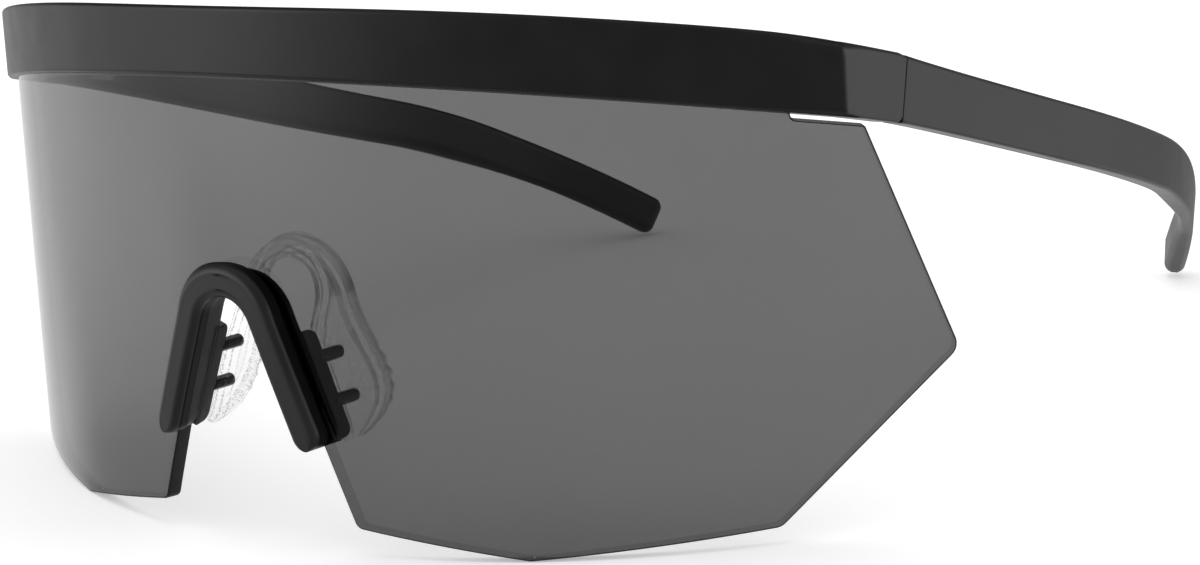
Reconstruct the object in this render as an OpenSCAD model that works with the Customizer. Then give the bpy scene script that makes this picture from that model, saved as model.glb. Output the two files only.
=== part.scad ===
// Shield sunglasses: one wrapped lens under a straight brow bar, clip-in nose bridge, folding temples.
// The front is drawn with the flat underside of the brow at height zero, then tipped so that the
// lens points and the temple tips stand on the ground. +Y runs back along the temples.

/* [Lens] */
// Width of the lens across its outer corners, before they are rounded
lens_w = 152; // [146:1:160]
// Radius of the curved middle of the lens, at its front face
lens_r = 88.1; // [84:0.1:94]
// Turn of the lens on each side, where the curve runs out into a flat wing
wing_turn = 41.9; // [39:0.1:44]
// Thickness of the lens
lens_t = 2; // [1.6:0.1:2.4]
// Lean of the lens against the brow, its top forward
lens_lean = 12.15; // [8:0.05:15]
// Drop of the lowest points, measured down the face of the lens
lens_drop = 56.1; // [53.5:0.1:60]
// Distance of the lowest points from the middle
low_point_x = 36.1; // [34:0.1:38]
// Drop of the lower clipped corners
lower_corner_drop = 53.2; // [50:0.1:55]
// Distance of the lower clipped corners from the middle
lower_corner_x = 60; // [57:0.1:63]
// Drop of the outer corners
outer_corner_drop = 33.7; // [30:0.1:38]
// Distance of the wing tops from the middle
wing_top_x = 68.7; // [68:0.1:71]
// Step down of the wing tops under the brow
wing_step = 0.75; // [0.4:0.05:1.2]
// Half width of the tongue of the lens that sits in the brow
tongue_x = 62.5; // [60:0.1:63.5]
// Height of the tongue
tongue_h = 3; // [2.2:0.1:4]
// Radius of the clipped corners
corner_r = 1.8; // [1:0.1:2.6]

/* [Nose notch] */
// Radius of the top of the notch
notch_r = 6.1; // [5.8:0.1:6.6]
// Drop of the top of the notch
notch_drop = 24; // [22.5:0.1:25]
// Slant of the sides of the notch
notch_slant = 21.4; // [19:0.1:23]
// Drop of the feet of the notch
notch_foot_drop = 53.1; // [51:0.1:54]

/* [Brow bar] */
// Height of the brow bar
brow_h = 8.4; // [7.6:0.1:10]
// How far the brow stands in front of the lens
brow_front_t = 1.35; // [1:0.05:2]
// Wall of the brow behind the lens
brow_rear_t = 1.6; // [1.3:0.05:2]
// Half width of the brow at its front corners
brow_half_w = 68; // [67.5:0.1:69]
// Radius of the front corners of the brow
brow_corner_r = 1.5; // [0.8:0.1:2]
// Length of the endpiece from the front corner to the temple
endpiece_len = 10.7; // [10.2:0.1:12]
// Outward slant of the endpiece
endpiece_splay = 4.4; // [2:0.1:6]

/* [Temples] */
// Length of a temple, measured straight back
temple_len = 118.4; // [108:0.1:124]
// Height of a temple
temple_h = 7.4; // [7:0.1:8]
// Height of the middle of a temple over the underside of the brow, at the hinge
temple_mid_h = 3.9; // [3.4:0.05:4.2]
// Thickness of a temple at the hinge
temple_t = 4; // [3.7:0.1:4.5]
// Thickness of a temple at its tip
temple_tip_t = 3.5; // [3:0.1:4]
// Outward slant of a temple where it leaves the hinge
temple_splay = 2.75; // [1:0.05:4]
// Downward slant of a temple where it leaves the hinge
temple_fall = 3.7; // [2:0.1:5]
// Distance behind the hinge where a temple starts to bow inward
bow_start = 39.6; // [28:0.1:48]
// Radius of the inward bow
bow_r = 120; // [110:1:150]
// Distance behind the hinge where a temple starts to bend down
drop_start = 68.7; // [58:0.1:78]
// Radius of the downward bend
drop_r = 126; // [110:1:160]
// Length of the rounded end of a temple
tip_round = 3; // [2:0.1:4]
// Radius of the long edges of a temple
temple_edge_r = 1.1; // [0.6:0.1:1.4]

/* [Hinges] */
// Outer radius of a hinge barrel
barrel_r = 1.35; // [1.2:0.05:1.45]
// Height of one hinge barrel
barrel_h = 1.8; // [1.6:0.05:1.9]
// Radius of the hinge screw
pin_r = 0.6; // [0.5:0.05:0.7]
// Radius of the hinge screw's head
pin_head_r = 1.05; // [0.9:0.05:1.15]
// Height of the hinge screw's head
pin_head_h = 0.5; // [0.3:0.05:0.6]
// Length of a hinge leaf behind or in front of the pin
leaf_len = 6.2; // [5.9:0.1:6.4]
// Thickness of a hinge leaf
leaf_t = 0.9; // [0.7:0.05:1.1]
// Depth that a hinge leaf is let into the plastic
leaf_sink = 0.45; // [0.3:0.05:0.6]
// Radius of the small screws in the leaves
screw_r = 0.45; // [0.35:0.05:0.5]
// Radius of the small screws' heads
screw_head_r = 0.8; // [0.65:0.05:0.85]
// Thickness of the small screws' heads
screw_head_t = 0.4; // [0.3:0.05:0.45]
// Length of the small screws' shanks
screw_len = 2.2; // [1.6:0.1:2.6]
// Distance of the first small screw from the pin
screw_first = 2.5; // [2.45:0.05:2.6]
// Distance between the two small screws of a leaf
screw_pitch = 2.4; // [1.9:0.05:2.5]
// Width of the slots in the screw heads
slot_w = 0.24; // [0.16:0.02:0.3]
// Depth of the slots in the screw heads
slot_d = 0.2; // [0.1:0.02:0.24]

/* [Nose clip] */
// Thickness of the front lip of the clip
lip_t = 2.2; // [1.6:0.1:2.6]
// Thickness of the rear lip of the clip
rear_lip_t = 1.1; // [0.8:0.1:1.4]
// How far the front lip laps onto the lens
lip_lap = 2; // [1.6:0.1:2.4]
// How far the rear lip laps onto the lens
rear_lip_lap = 1.5; // [1:0.1:1.9]
// Wall of the clip inside the notch
clip_wall = 2.1; // [1.8:0.1:2.3]
// Drop of the middle of the round ends of the clip's legs
clip_end_drop = 41.4; // [40:0.1:43]
// Distance of the flanges' rear edges behind the lens front
flange_reach = 6.3; // [5.4:0.1:7]
// Thickness of the flanges
flange_t = 1.7; // [1.6:0.05:1.8]
// Step in from the clip's outer side to the flanges
flange_step = 0.06; // [0.03:0.01:0.12]
// Radius of the rounded corners of the flanges
flange_round = 1.2; // [0.6:0.1:1.6]
// Drop of the top of the flanges
flange_top_drop = 30.6; // [29.6:0.1:31.6]
// Drop of the bottom of the flanges
flange_low_drop = 43.2; // [42:0.1:44]
// Radius of the pegs that hold the pad
peg_r = 0.7; // [0.55:0.05:0.75]
// Length of the pegs behind the flanges
peg_len = 2.8; // [2.2:0.1:3.4]
// Drop of the upper pegs
upper_peg_drop = 33.9; // [33.2:0.1:35]
// Drop of the lower pegs
lower_peg_drop = 39; // [38:0.1:40]

/* [Nose pad] */
// Thickness of the pads
pad_t = 2.5; // [2.3:0.1:2.8]
// Thickness of the strap that joins the pads
strap_t = 2.7; // [2.2:0.1:3]
// Depth of the pads, from the clip to their fullest rear edge
pad_depth = 8.2; // [7.4:0.1:9]
// Drop of the bottom of the pads
pad_low_drop = 43.6; // [42.8:0.1:44.4]
// Outward slant of the pads behind the clip
pad_splay = 11.3; // [8:0.1:14]
// Rise of the strap over the line of the pads
strap_rise = 2.2; // [1.4:0.1:2.8]

/* [Clearances] */
// Room on each side of the lens in the brow's groove and between the clip's lips
lens_room = 0.05; // [0.03:0.01:0.1]
// Room between the clip and the edge of the notch
notch_room = 0.1; // [0.06:0.01:0.15]
// Gap between an endpiece and its temple
seam_gap = 0.24; // [0.15:0.01:0.4]
// Radial room of the hinge screw in the barrels
pin_room = 0.05; // [0.02:0.01:0.08]
// Room between neighbouring barrels
barrel_room = 0.06; // [0.04:0.01:0.12]
// Room between the barrels and the plastic
barrel_gap = 0.27; // [0.2:0.01:0.4]
// Room round the leaves in the plastic, and round the small screws
screw_room = 0.03; // [0.02:0.01:0.05]
// Room between the pad and the clip
pad_room = 0.1; // [0.06:0.01:0.15]
// Room round the pegs in the pad
peg_room = 0.04; // [0.02:0.01:0.08]

/* [Hidden] */
$fn = 64;

matte_black = [0.1, 0.1, 0.11];
clip_black = [0.14, 0.14, 0.15];
smoke = [0.35, 0.35, 0.36, 0.7];
silicone = [0.86, 0.88, 0.9, 0.6];
steel = [0.6, 0.6, 0.62];

// Overrun of the cutting bodies, and a span that reaches past the whole object
over = lens_t;
reach = lens_w;

// Places on the front
brow_out_r = lens_r + brow_front_t;
groove_depth = lens_t + lens_room;
brow_rear_depth = groove_depth + brow_rear_t;
corner_run = (brow_half_w - brow_out_r * sin(wing_turn)) / cos(wing_turn);
corner_depth = lens_r - brow_out_r * cos(wing_turn) + corner_run * sin(wing_turn);
corner_y = corner_depth / cos(lens_lean);
seam_y = corner_y + endpiece_len;
seam_x = brow_half_w + endpiece_len * tan(endpiece_splay);
half_seam = seam_gap / 2;

// Outline of the lens in its own plane, each corner as width from the middle and height
function wing_depth(x) = lens_r * (1 - cos(wing_turn)) + (x - lens_r * sin(wing_turn)) * tan(wing_turn);
arch_drop = notch_drop + notch_r;
function edge_x(off, drop) =
    (notch_r + off + (drop - arch_drop) * sin(notch_slant)) / cos(notch_slant);
wing_top = [wing_top_x, (-wing_step - wing_depth(wing_top_x) * sin(lens_lean)) / cos(lens_lean)];
outer_corner = [lens_w / 2, -outer_corner_drop];
lower_corner = [lower_corner_x, -lower_corner_drop];
low_point = [low_point_x, -lens_drop];
notch_foot = [edge_x(0, notch_foot_drop), -notch_foot_drop];
notch_shoulder = [notch_r * cos(notch_slant), -arch_drop + notch_r * sin(notch_slant)];
beyond_share = 0.5;
above_wing = wing_top + (wing_top - outer_corner) * beyond_share;

// Points of an arc that rounds one corner of an outline
arc_steps = 8;
function unit(v) = v / norm(v);
function round_corner(before, at, after, r) =
    let (a = unit(before - at), b = unit(after - at))
    let (half = acos(a * b) / 2, turn = 180 - 2 * half)
    let (middle = at + unit(a + b) * r / sin(half))
    let (from = at + a * r / tan(half) - middle, to = at + b * r / tan(half) - middle)
    [for (k = [0 : arc_steps])
        middle + (from * sin(turn * (1 - k / arc_steps)) + to * sin(turn * k / arc_steps)) / sin(turn)];
half_outline = concat(
    [above_wing],
    round_corner(wing_top, outer_corner, lower_corner, corner_r),
    round_corner(outer_corner, lower_corner, low_point, corner_r),
    round_corner(lower_corner, low_point, notch_foot, corner_r),
    round_corner(low_point, notch_foot, notch_shoulder, corner_r),
    [notch_shoulder]);
function flipped(points) = [for (k = [len(points) - 1 : -1 : 0]) [-points[k][0], points[k][1]]];

// Lean of the whole object at rest, over the lens points and the temple tips
function place_y(depth, drop) = depth * cos(lens_lean) + drop * sin(lens_lean);
function place_z(depth, drop) = depth * sin(lens_lean) - drop * cos(lens_lean);
low_depth = lens_r - (lens_r - lens_t) * sqrt(1 - pow(low_point_x / (lens_r - lens_t), 2));
low_y = place_y(low_depth, lens_drop);
low_z = place_z(low_depth, lens_drop);

// Course of a temple behind the hinge: place and slopes of its middle
function past(l, start) = max(l - start, 0);
function temple_thick(l) = temple_t + (temple_tip_t - temple_t) * l / temple_len;
function side_slope(l) = tan(temple_splay) - past(l, bow_start) / bow_r;
function fall_slope(l) = -tan(temple_fall) - past(l, drop_start) / drop_r;
function course_x(l) = seam_x + l * tan(temple_splay) - pow(past(l, bow_start), 2) / (2 * bow_r);
function course_z(l) = temple_mid_h - l * tan(temple_fall) - pow(past(l, drop_start), 2) / (2 * drop_r);
function inward(l) = unit([-1, side_slope(l), 0]);
function along(l) = unit([side_slope(l), 1, fall_slope(l)]);
function middle_at(l) = [course_x(l), seam_y + l, course_z(l)] + inward(l) * temple_thick(l) / 2;
tip_up = cross(along(temple_len), inward(temple_len));
tip_out = -inward(temple_len) * temple_tip_t / 2;
tip_low_shares = [0.46, 0.84, 0.33];
tip_rear_shares = [0.28, 0.7, 0.33];
tip_low = middle_at(temple_len - tip_round * tip_low_shares[0])
    - tip_up * temple_h / 2 * tip_low_shares[1] + tip_out * tip_low_shares[2];
tip_rear = middle_at(temple_len - tip_round * tip_rear_shares[0])
    + tip_up * temple_h / 2 * tip_rear_shares[1] + tip_out * tip_rear_shares[2];
rest_lean = atan2(tip_low[2] - low_z, tip_low[1] - low_y);

// Extents of the resting object, which set the origin under the middle of its box
function rest_y(y, z) = y * cos(rest_lean) + z * sin(rest_lean);
function rest_z(y, z) = z * cos(rest_lean) - y * sin(rest_lean);
lip_front = -lens_room - lip_t;
foot_r = (clip_wall + lip_lap) / 2;
foot_front_shares = [0.82, 0.57];
lip_end_x = edge_x(foot_r - clip_wall, clip_end_drop) - foot_r * foot_front_shares[0];
lip_end_depth = lens_r - sqrt(pow(lens_r - lip_front, 2) - pow(lip_end_x, 2));
lip_end_drop = clip_end_drop + foot_r * foot_front_shares[1];
front_y = rest_y(place_y(lip_end_depth, lip_end_drop), place_z(lip_end_depth, lip_end_drop));
rear_y = rest_y(tip_rear[1], tip_rear[2]);
ground_z = rest_z(low_y, low_z);

module resting() {
    translate([0, -(front_y + rear_y) / 2, -ground_z]) rotate([-rest_lean, 0, 0]) children();
}

// Draws its children on both sides of the nose
module both_sides() {
    children();
    mirror([1, 0, 0]) children();
}

module lens_frame() {
    rotate([lens_lean, 0, 0]) children();
}

// Runs a flat outline through the depth of the lens frame
module through(from, to) {
    translate([0, to, 0]) rotate([90, 0, 0]) linear_extrude(to - from) children();
}

// Plan of everything behind a line bent like the lens, so far behind the face of the lens. The wings
// start a hair inside the curve, so that they cross it cleanly
dip_share = 0.00003;
module behind_line(depth, span) {
    r = lens_r - depth;
    near = r * (1 - dip_share) * [sin(wing_turn), -cos(wing_turn)];
    far = near + span * [cos(wing_turn), sin(wing_turn)];
    circle(r, $fn = 180);
    polygon([near, far, [far[0], far[1] + span], [-far[0], far[1] + span], [-far[0], far[1]],
        [-near[0], near[1]]]);
}

// Sheet bent like the lens, between two distances behind the face of the lens
module bent_sheet(from, to, low, high) {
    translate([0, lens_r, low]) linear_extrude(high - low) intersection() {
        difference() {
            behind_line(from, lens_w);
            behind_line(to, 2 * lens_w);
        }
        translate([-lens_w, -2 * lens_r]) square([2 * lens_w, 2 * lens_r + lens_w / 2]);
    }
}

// Shield lens
module shield_lens() {
    color(smoke) resting() difference() {
        lens_frame() intersection() {
            bent_sheet(0, lens_t, -lens_drop - over, brow_h);
            through(-over, lens_w / 2) difference() {
                polygon(concat(half_outline, flipped(half_outline)));
                translate([0, -arch_drop]) circle(notch_r);
            }
        }
        translate([-reach, -over, tongue_h]) cube([2 * reach, reach, reach]);
        both_sides() translate([tongue_x, -over, -wing_step]) cube([reach, reach, reach]);
    }
}

// Round front corner of the brow: the edge between the wing and the endpiece's outer side
wing_normal = [sin(wing_turn), -cos(wing_turn) * cos(lens_lean), -cos(wing_turn) * sin(lens_lean)];
side_normal = [cos(endpiece_splay), -sin(endpiece_splay), 0];
edge_run = unit(cross(wing_normal, side_normal));
edge_out = unit(wing_normal + side_normal);
edge_side = cross(edge_run, edge_out);
edge_half = acos(wing_normal * side_normal) / 2;
edge_middle = [brow_half_w, corner_y, 0] - edge_out * brow_corner_r / cos(edge_half);

module corner_rounder() {
    near = brow_corner_r * [cos(edge_half), sin(edge_half)];
    far = near * 2;
    multmatrix([[edge_out[0], edge_side[0], edge_run[0], edge_middle[0]],
        [edge_out[1], edge_side[1], edge_run[1], edge_middle[1]],
        [edge_out[2], edge_side[2], edge_run[2], edge_middle[2]], [0, 0, 0, 1]])
        difference() {
            translate([0, 0, -2 * brow_h]) linear_extrude(4 * brow_h)
                polygon([near, far, [far[0], -far[1]], [near[0], -near[1]]]);
            translate([0, 0, -3 * brow_h]) cylinder(r = brow_corner_r, h = 6 * brow_h);
        }
}

// Hinge measures, seen from the pin: +X out of the head, +Y back
hinge_x = seam_x - temple_t - barrel_gap - barrel_r;
hinge_h = 3 * barrel_h + 2 * barrel_room;
hinge_low = temple_mid_h - hinge_h / 2;
leaf_x = barrel_r + barrel_gap + leaf_sink - leaf_t;
leaf_start = barrel_r + barrel_gap;
barrel_step = barrel_h + barrel_room;
web_end = min(leaf_start, screw_first - screw_head_r) - screw_room;
screw_ys = [screw_first, screw_first + screw_pitch];

module at_hinge(turn) {
    translate([hinge_x, seam_y, hinge_low]) rotate([0, 0, turn]) children();
}

module leaf(levels) {
    difference() {
        union() {
            translate([leaf_x, leaf_start, 0]) cube([leaf_t, leaf_len - leaf_start, hinge_h]);
            for (level = levels) translate([0, 0, level * barrel_step]) {
                cylinder(r = barrel_r, h = barrel_h);
                translate([0, half_seam, 0])
                    cube([leaf_x + leaf_t, web_end - half_seam, barrel_h]);
                translate([leaf_x, half_seam, 0])
                    cube([leaf_t, leaf_start - half_seam + leaf_sink, barrel_h]);
            }
        }
        translate([0, 0, -over]) cylinder(r = pin_r + pin_room, h = hinge_h + 2 * over);
        for (y = screw_ys) translate([leaf_x - over, y, hinge_h / 2]) rotate([0, 90, 0])
            cylinder(r = screw_r + screw_room, h = leaf_t + 2 * over);
    }
}

// Recess for a leaf and the holes for its small screws
module leaf_recess(levels) {
    translate([leaf_x, leaf_start - screw_room, -screw_room])
        cube([leaf_t + screw_room, leaf_len - leaf_start + 2 * screw_room, hinge_h + 2 * screw_room]);
    for (level = levels) translate([leaf_x, -over, level * barrel_step - screw_room])
        cube([leaf_t + screw_room, leaf_start + over, barrel_h + 2 * screw_room]);
    for (y = screw_ys) translate([leaf_x, y, hinge_h / 2]) rotate([0, 90, 0])
        cylinder(r = screw_r + screw_room, h = screw_len + screw_room);
}

module small_screws() {
    for (y = screw_ys) translate([leaf_x, y, hinge_h / 2]) rotate([0, 90, 0]) difference() {
        union() {
            cylinder(r = screw_r, h = screw_len);
            translate([0, 0, -screw_head_t]) cylinder(r = screw_head_r, h = screw_head_t);
        }
        translate([-screw_head_r - over, -slot_w / 2, -screw_head_t - over])
            cube([2 * (screw_head_r + over), slot_w, slot_d + over]);
    }
}

// Brow bar
module brow_bar() {
    seam_top = temple_mid_h + temple_h / 2;
    inner_corner_x = brow_half_w - temple_t;
    color(matte_black) resting() difference() {
        union() {
            intersection() {
                lens_frame() bent_sheet(-brow_front_t, brow_rear_depth, -reach, reach);
                translate([-reach, -reach, 0]) cube([2 * reach, 2 * reach, brow_h]);
            }
            both_sides() linear_extrude(brow_h) polygon([
                [inner_corner_x, corner_y],
                [brow_half_w, corner_y + over],
                [seam_x, seam_y - half_seam],
                [seam_x - temple_t, seam_y - half_seam]]);
        }
        both_sides() {
            translate([brow_half_w, corner_y, -over]) rotate([0, 0, -endpiece_splay])
                translate([0, -reach, 0]) cube([reach, 2 * reach, brow_h + 2 * over]);
            corner_rounder();
            translate([brow_half_w - reach, 0, 0]) rotate([90, 0, 90]) linear_extrude(2 * reach)
                polygon([[corner_y, brow_h], [seam_y, seam_top], [seam_y + over, seam_top],
                    [seam_y + over, brow_h + over], [corner_y, brow_h + over]]);
            at_hinge(-endpiece_splay) mirror([0, 1, 0]) leaf_recess([0, 2]);
        }
        intersection() {
            lens_frame() bent_sheet(-lens_room, groove_depth, -reach, reach);
            translate([-tongue_x - lens_room, -over, -over])
                cube([2 * (tongue_x + lens_room), reach, tongue_h + lens_room + over]);
        }
    }
}

// Nose clip, in the frame of the lens
function leg_point(off, run) = [(notch_r + off) * cos(notch_slant) + run * sin(notch_slant),
    (notch_r + off) * sin(notch_slant) - run * cos(notch_slant)];
function flip(point) = [-point[0], point[1]];

// Half outline of a band round the notch between two distances from its edge, with a round foot
band_steps = 16;
function turned(r, turn) = r * [cos(turn), sin(turn)];
function half_band(inner, outer, run) =
    let (foot = leg_point((inner + outer) / 2, run), foot_r = (outer - inner) / 2)
    concat(
        [for (k = [0 : band_steps]) turned(notch_r + outer, 90 - (90 - notch_slant) * k / band_steps)],
        [for (k = [0 : band_steps]) foot + turned(foot_r, notch_slant - 180 * k / band_steps)],
        [for (k = [band_steps : -1 : 0]) turned(notch_r + inner, 90 - (90 - notch_slant) * k / band_steps)]);

module band(inner, outer, end_drop) {
    half = half_band(inner, outer, leg_run((inner + outer) / 2, end_drop));
    translate([0, -arch_drop])
        polygon(concat(half, [for (k = [len(half) - 2 : -1 : 1]) flip(half[k])]));
}

// Frame of the right leg: X away from the nose, Z up the leg, from the middle of the arch
module leg_frame() {
    translate([0, 0, -arch_drop]) rotate([0, -notch_slant, 0]) children();
}
function leg_run(off, drop) = (drop - arch_drop + (notch_r + off) * sin(notch_slant)) / cos(notch_slant);
flange_off = -notch_room - flange_step - flange_t;
flange_mid = notch_r + flange_off + flange_t / 2;
flange_low = leg_run(flange_off, flange_low_drop);
flange_top = leg_run(flange_off, flange_top_drop);

module pegs(r, from_share) {
    for (drop = [upper_peg_drop, lower_peg_drop])
        translate([flange_mid, flange_reach, -leg_run(-flange_t / 2, drop)]) rotate([0, 0, -pad_splay])
            translate([0, -flange_t * from_share, 0]) rotate([-90, 0, 0])
                cylinder(r = r, h = peg_len + flange_t * from_share);
}

module flange() {
    front = groove_depth;
    difference() {
        translate([notch_r + flange_off, front, -flange_low])
            cube([flange_t, flange_reach - front, flange_low - flange_top]);
        for (z = [-flange_low, -flange_top]) translate([0, flange_reach, z]) difference() {
            translate([0, -flange_round, -flange_round])
                cube([2 * notch_r, 2 * flange_round, 2 * flange_round]);
            translate([-over, -flange_round, (z == -flange_low ? 1 : -1) * flange_round])
                rotate([0, 90, 0]) cylinder(r = flange_round, h = 3 * notch_r);
        }
    }
}

module nose_clip() {
    rear_front = groove_depth;
    rear_end = groove_depth + rear_lip_t;
    tall = lens_drop;
    color(clip_black) resting() lens_frame() {
        intersection() {
            bent_sheet(lip_front, -lens_room, -tall, 0);
            through(-over - lip_t, over) band(-clip_wall, lip_lap, clip_end_drop);
        }
        intersection() {
            bent_sheet(lip_front, rear_end, -tall, 0);
            through(-over - lip_t, 2 * over + rear_end) band(-clip_wall, -notch_room, clip_end_drop);
        }
        intersection() {
            bent_sheet(rear_front, rear_end, -tall, 0);
            through(0, 2 * over + rear_end) band(-clip_wall, rear_lip_lap, clip_end_drop);
        }
        both_sides() leg_frame() {
            flange();
            pegs(peg_r, 1);
        }
    }
}

// Nose pad: a band swept over the notch, its stations run from the middle down one side
leg_share = 0.27;
front_shares = [[0, 0.47], [0.14, 0.4], [0.3, 0.22], [0.42, 0.05], [0.5, 0], [1, 0]];
rear_shares = [[0, 0.78], [0.2, 0.79], [0.4, 0.81], [0.54, 0.88], [0.66, 0.97], [0.755, 1],
    [0.84, 0.93], [0.91, 0.78], [0.965, 0.54], [0.985, 0.38], [1, 0.2]];
thick_shares = [[0, 1], [0.9, 1], [0.965, 0.86], [0.99, 0.6], [1, 0.4]];
rise_shares = [[0, 1], [0.1, 0.93], [0.2, 0.72], [0.3, 0.42], [0.4, 0.16], [0.5, 0.03], [0.55, 0], [1, 0]];
round_share = 0.32;
pad_front = flange_reach + pad_room;
pad_stations = 26;
corner_steps = 3;
section_n = 4 * (corner_steps + 1);
leg_end = (pad_low_drop - arch_drop + notch_r * sin(notch_slant)) / cos(notch_slant);

// Place of a point at a share of the way, so far out from the notch's edge and so deep
function band_point(share, off, depth) =
    share < leg_share
    ? let (turn = 90 - (90 - notch_slant) * share / leg_share, r = notch_r + off)
        [r * cos(turn), depth, -arch_drop + r * sin(turn)]
    : let (run = leg_end * (share - leg_share) / (1 - leg_share), r = notch_r + off)
        [r * cos(notch_slant) + run * sin(notch_slant), depth,
            -arch_drop + r * sin(notch_slant) - run * cos(notch_slant)];

// Unit square with round corners, as [out, back] shares
function square_share(k) =
    let (corner = floor(k / (corner_steps + 1)), step = k % (corner_steps + 1))
    let (turn = 90 * corner + 90 * step / corner_steps)
    let (sx = corner == 0 || corner == 3 ? 1 : -1, sy = corner < 2 ? 1 : -1)
    [sx * (1 - round_share) + round_share * cos(turn), sy * (1 - round_share) + round_share * sin(turn)];

function pad_section(share) =
    let (first = pad_front + pad_depth * lookup(share, front_shares))
    let (last = pad_front + pad_depth * lookup(share, rear_shares))
    let (thick = (strap_t + (pad_t - strap_t) * min(share / leg_share, 1)) * lookup(share, thick_shares))
    let (full = strap_t + (pad_t - strap_t) * min(share / leg_share, 1))
    [for (k = [0 : section_n - 1])
        let (q = square_share(k))
        let (round_in = min(1, full / (last - first)))
        let (back = abs(q[1]) <= 1 - round_share ? q[1]
            : sign(q[1]) * (1 - round_in * round_share + (abs(q[1]) - 1 + round_share) * round_in))
        let (depth = (first + last) / 2 + back * (last - first) / 2)
        let (off = (depth - pad_front) * tan(pad_splay) + strap_rise * lookup(share, rise_shares)
            - full / 2 + q[0] * thick / 2)
        band_point(share, off, depth)];

function swept_faces(n, m) = concat(
    [for (i = [0 : n - 2], k = [0 : m - 1])
        let (a = i * m + k, b = i * m + (k + 1) % m) [a, b, b + m]],
    [for (i = [0 : n - 2], k = [0 : m - 1])
        let (a = i * m + k, b = i * m + (k + 1) % m) [a, b + m, a + m]],
    [for (k = [0 : m - 1]) [n * m, (k + 1) % m, k]],
    [for (k = [0 : m - 1]) [n * m + 1, (n - 1) * m + k, (n - 1) * m + (k + 1) % m]]);

function mean_of(points) = [for (axis = [0 : 2]) [for (p = points) p[axis]] * [for (p = points) 1] / len(points)];

module swept(sections) {
    n = len(sections);
    m = len(sections[0]);
    all_points = [for (s = sections, p = s) p];
    polyhedron(points = concat(all_points, [mean_of(sections[0]), mean_of(sections[n - 1])]),
        faces = swept_faces(n, m), convexity = 6);
}

function mirrored(points) = [for (p = points) [-p[0], p[1], p[2]]];

module nose_pad() {
    right = [for (i = [0 : pad_stations]) pad_section(i / pad_stations)];
    left = [for (i = [pad_stations : -1 : 1]) mirrored(pad_section(i / pad_stations))];
    color(silicone) resting() lens_frame() difference() {
        swept(concat(left, right));
        both_sides() leg_frame() pegs(peg_r + peg_room, 1);
    }
}

// Temples
temple_corner_steps = 4;
temple_section_n = 4 * (temple_corner_steps + 1);
temple_stations = 34;
tip_stations = 7;
body_len = temple_len - tip_round;
first_share = -0.02;

function temple_corner(k, half_t, half_h, r) =
    let (corner = floor(k / (temple_corner_steps + 1)), step = k % (temple_corner_steps + 1))
    let (turn = 90 * corner + 90 * step / temple_corner_steps)
    let (sx = corner == 0 || corner == 3 ? 1 : -1, sy = corner < 2 ? 1 : -1)
    [sx * (half_t - r) + r * cos(turn), sy * (half_h - r) + r * sin(turn)];

function temple_section(l, share) =
    let (half_t = temple_thick(l) / 2 * (0.3 + 0.7 * share), half_h = temple_h / 2 * share)
    let (r = min(temple_edge_r, half_t * 0.9, half_h * 0.9))
    let (in = inward(l), up = cross(along(l), in))
    [for (k = [0 : temple_section_n - 1])
        let (q = temple_corner(k, half_t, half_h, r))
        middle_at(l) - in * q[0] + up * q[1]];

temple_rings = concat(
    [for (i = [0 : temple_stations])
        temple_section(body_len * (first_share + (1 - first_share) * i / temple_stations), 1)],
    [for (j = [1 : tip_stations])
        temple_section(body_len + tip_round * sin(88 * j / tip_stations), cos(88 * j / tip_stations))]);

module temple_body() {
    color(matte_black) difference() {
        swept(temple_rings);
        translate([0, seam_y + half_seam - reach, -reach]) cube([reach, reach, 2 * reach]);
        at_hinge(-temple_splay) leaf_recess([1]);
    }
}

module temple_left() {
    resting() temple_body();
}

module temple_right() {
    resting() mirror([1, 0, 0]) temple_body();
}

// Hinges
module front_leaf() {
    color(steel) at_hinge(-endpiece_splay) mirror([0, 1, 0]) leaf([0, 2]);
}

module front_leaf_left() {
    resting() front_leaf();
}

module front_leaf_right() {
    resting() mirror([1, 0, 0]) front_leaf();
}

module temple_leaf() {
    color(steel) at_hinge(-temple_splay) leaf([1]);
}

module temple_leaf_left() {
    resting() temple_leaf();
}

module temple_leaf_right() {
    resting() mirror([1, 0, 0]) temple_leaf();
}

module hinge_screw() {
    color(steel) at_hinge(0) difference() {
        union() {
            cylinder(r = pin_r, h = hinge_h + barrel_room);
            translate([0, 0, hinge_h + barrel_room]) cylinder(r = pin_head_r, h = pin_head_h);
        }
        translate([-pin_head_r - over, -slot_w / 2, hinge_h + barrel_room + pin_head_h - slot_d])
            cube([2 * (pin_head_r + over), slot_w, slot_d + over]);
    }
}

module hinge_screw_left() {
    resting() hinge_screw();
}

module hinge_screw_right() {
    resting() mirror([1, 0, 0]) hinge_screw();
}

module front_leaf_screws() {
    color(steel) at_hinge(-endpiece_splay) mirror([0, 1, 0]) small_screws();
}

module front_leaf_screws_left() {
    resting() front_leaf_screws();
}

module front_leaf_screws_right() {
    resting() mirror([1, 0, 0]) front_leaf_screws();
}

module temple_leaf_screws() {
    color(steel) at_hinge(-temple_splay) small_screws();
}

module temple_leaf_screws_left() {
    resting() temple_leaf_screws();
}

module temple_leaf_screws_right() {
    resting() mirror([1, 0, 0]) temple_leaf_screws();
}

brow_bar();
shield_lens();
nose_clip();
nose_pad();
temple_left();
temple_right();
front_leaf_left();
front_leaf_right();
temple_leaf_left();
temple_leaf_right();
hinge_screw_left();
hinge_screw_right();
front_leaf_screws_left();
front_leaf_screws_right();
temple_leaf_screws_left();
temple_leaf_screws_right();
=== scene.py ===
"""Shield sunglasses: the pieces that are seen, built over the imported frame, with their finishes.

Shapes are worked out in millimetres in the drawing frame: the underside of the brow bar is z = 0,
the front of the lens at the centre line is the origin, +X is the wearer's left, +Y is backwards and
+Z is up. RestPose leans that frame back onto the floor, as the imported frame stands, in metres.
"""

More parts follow.
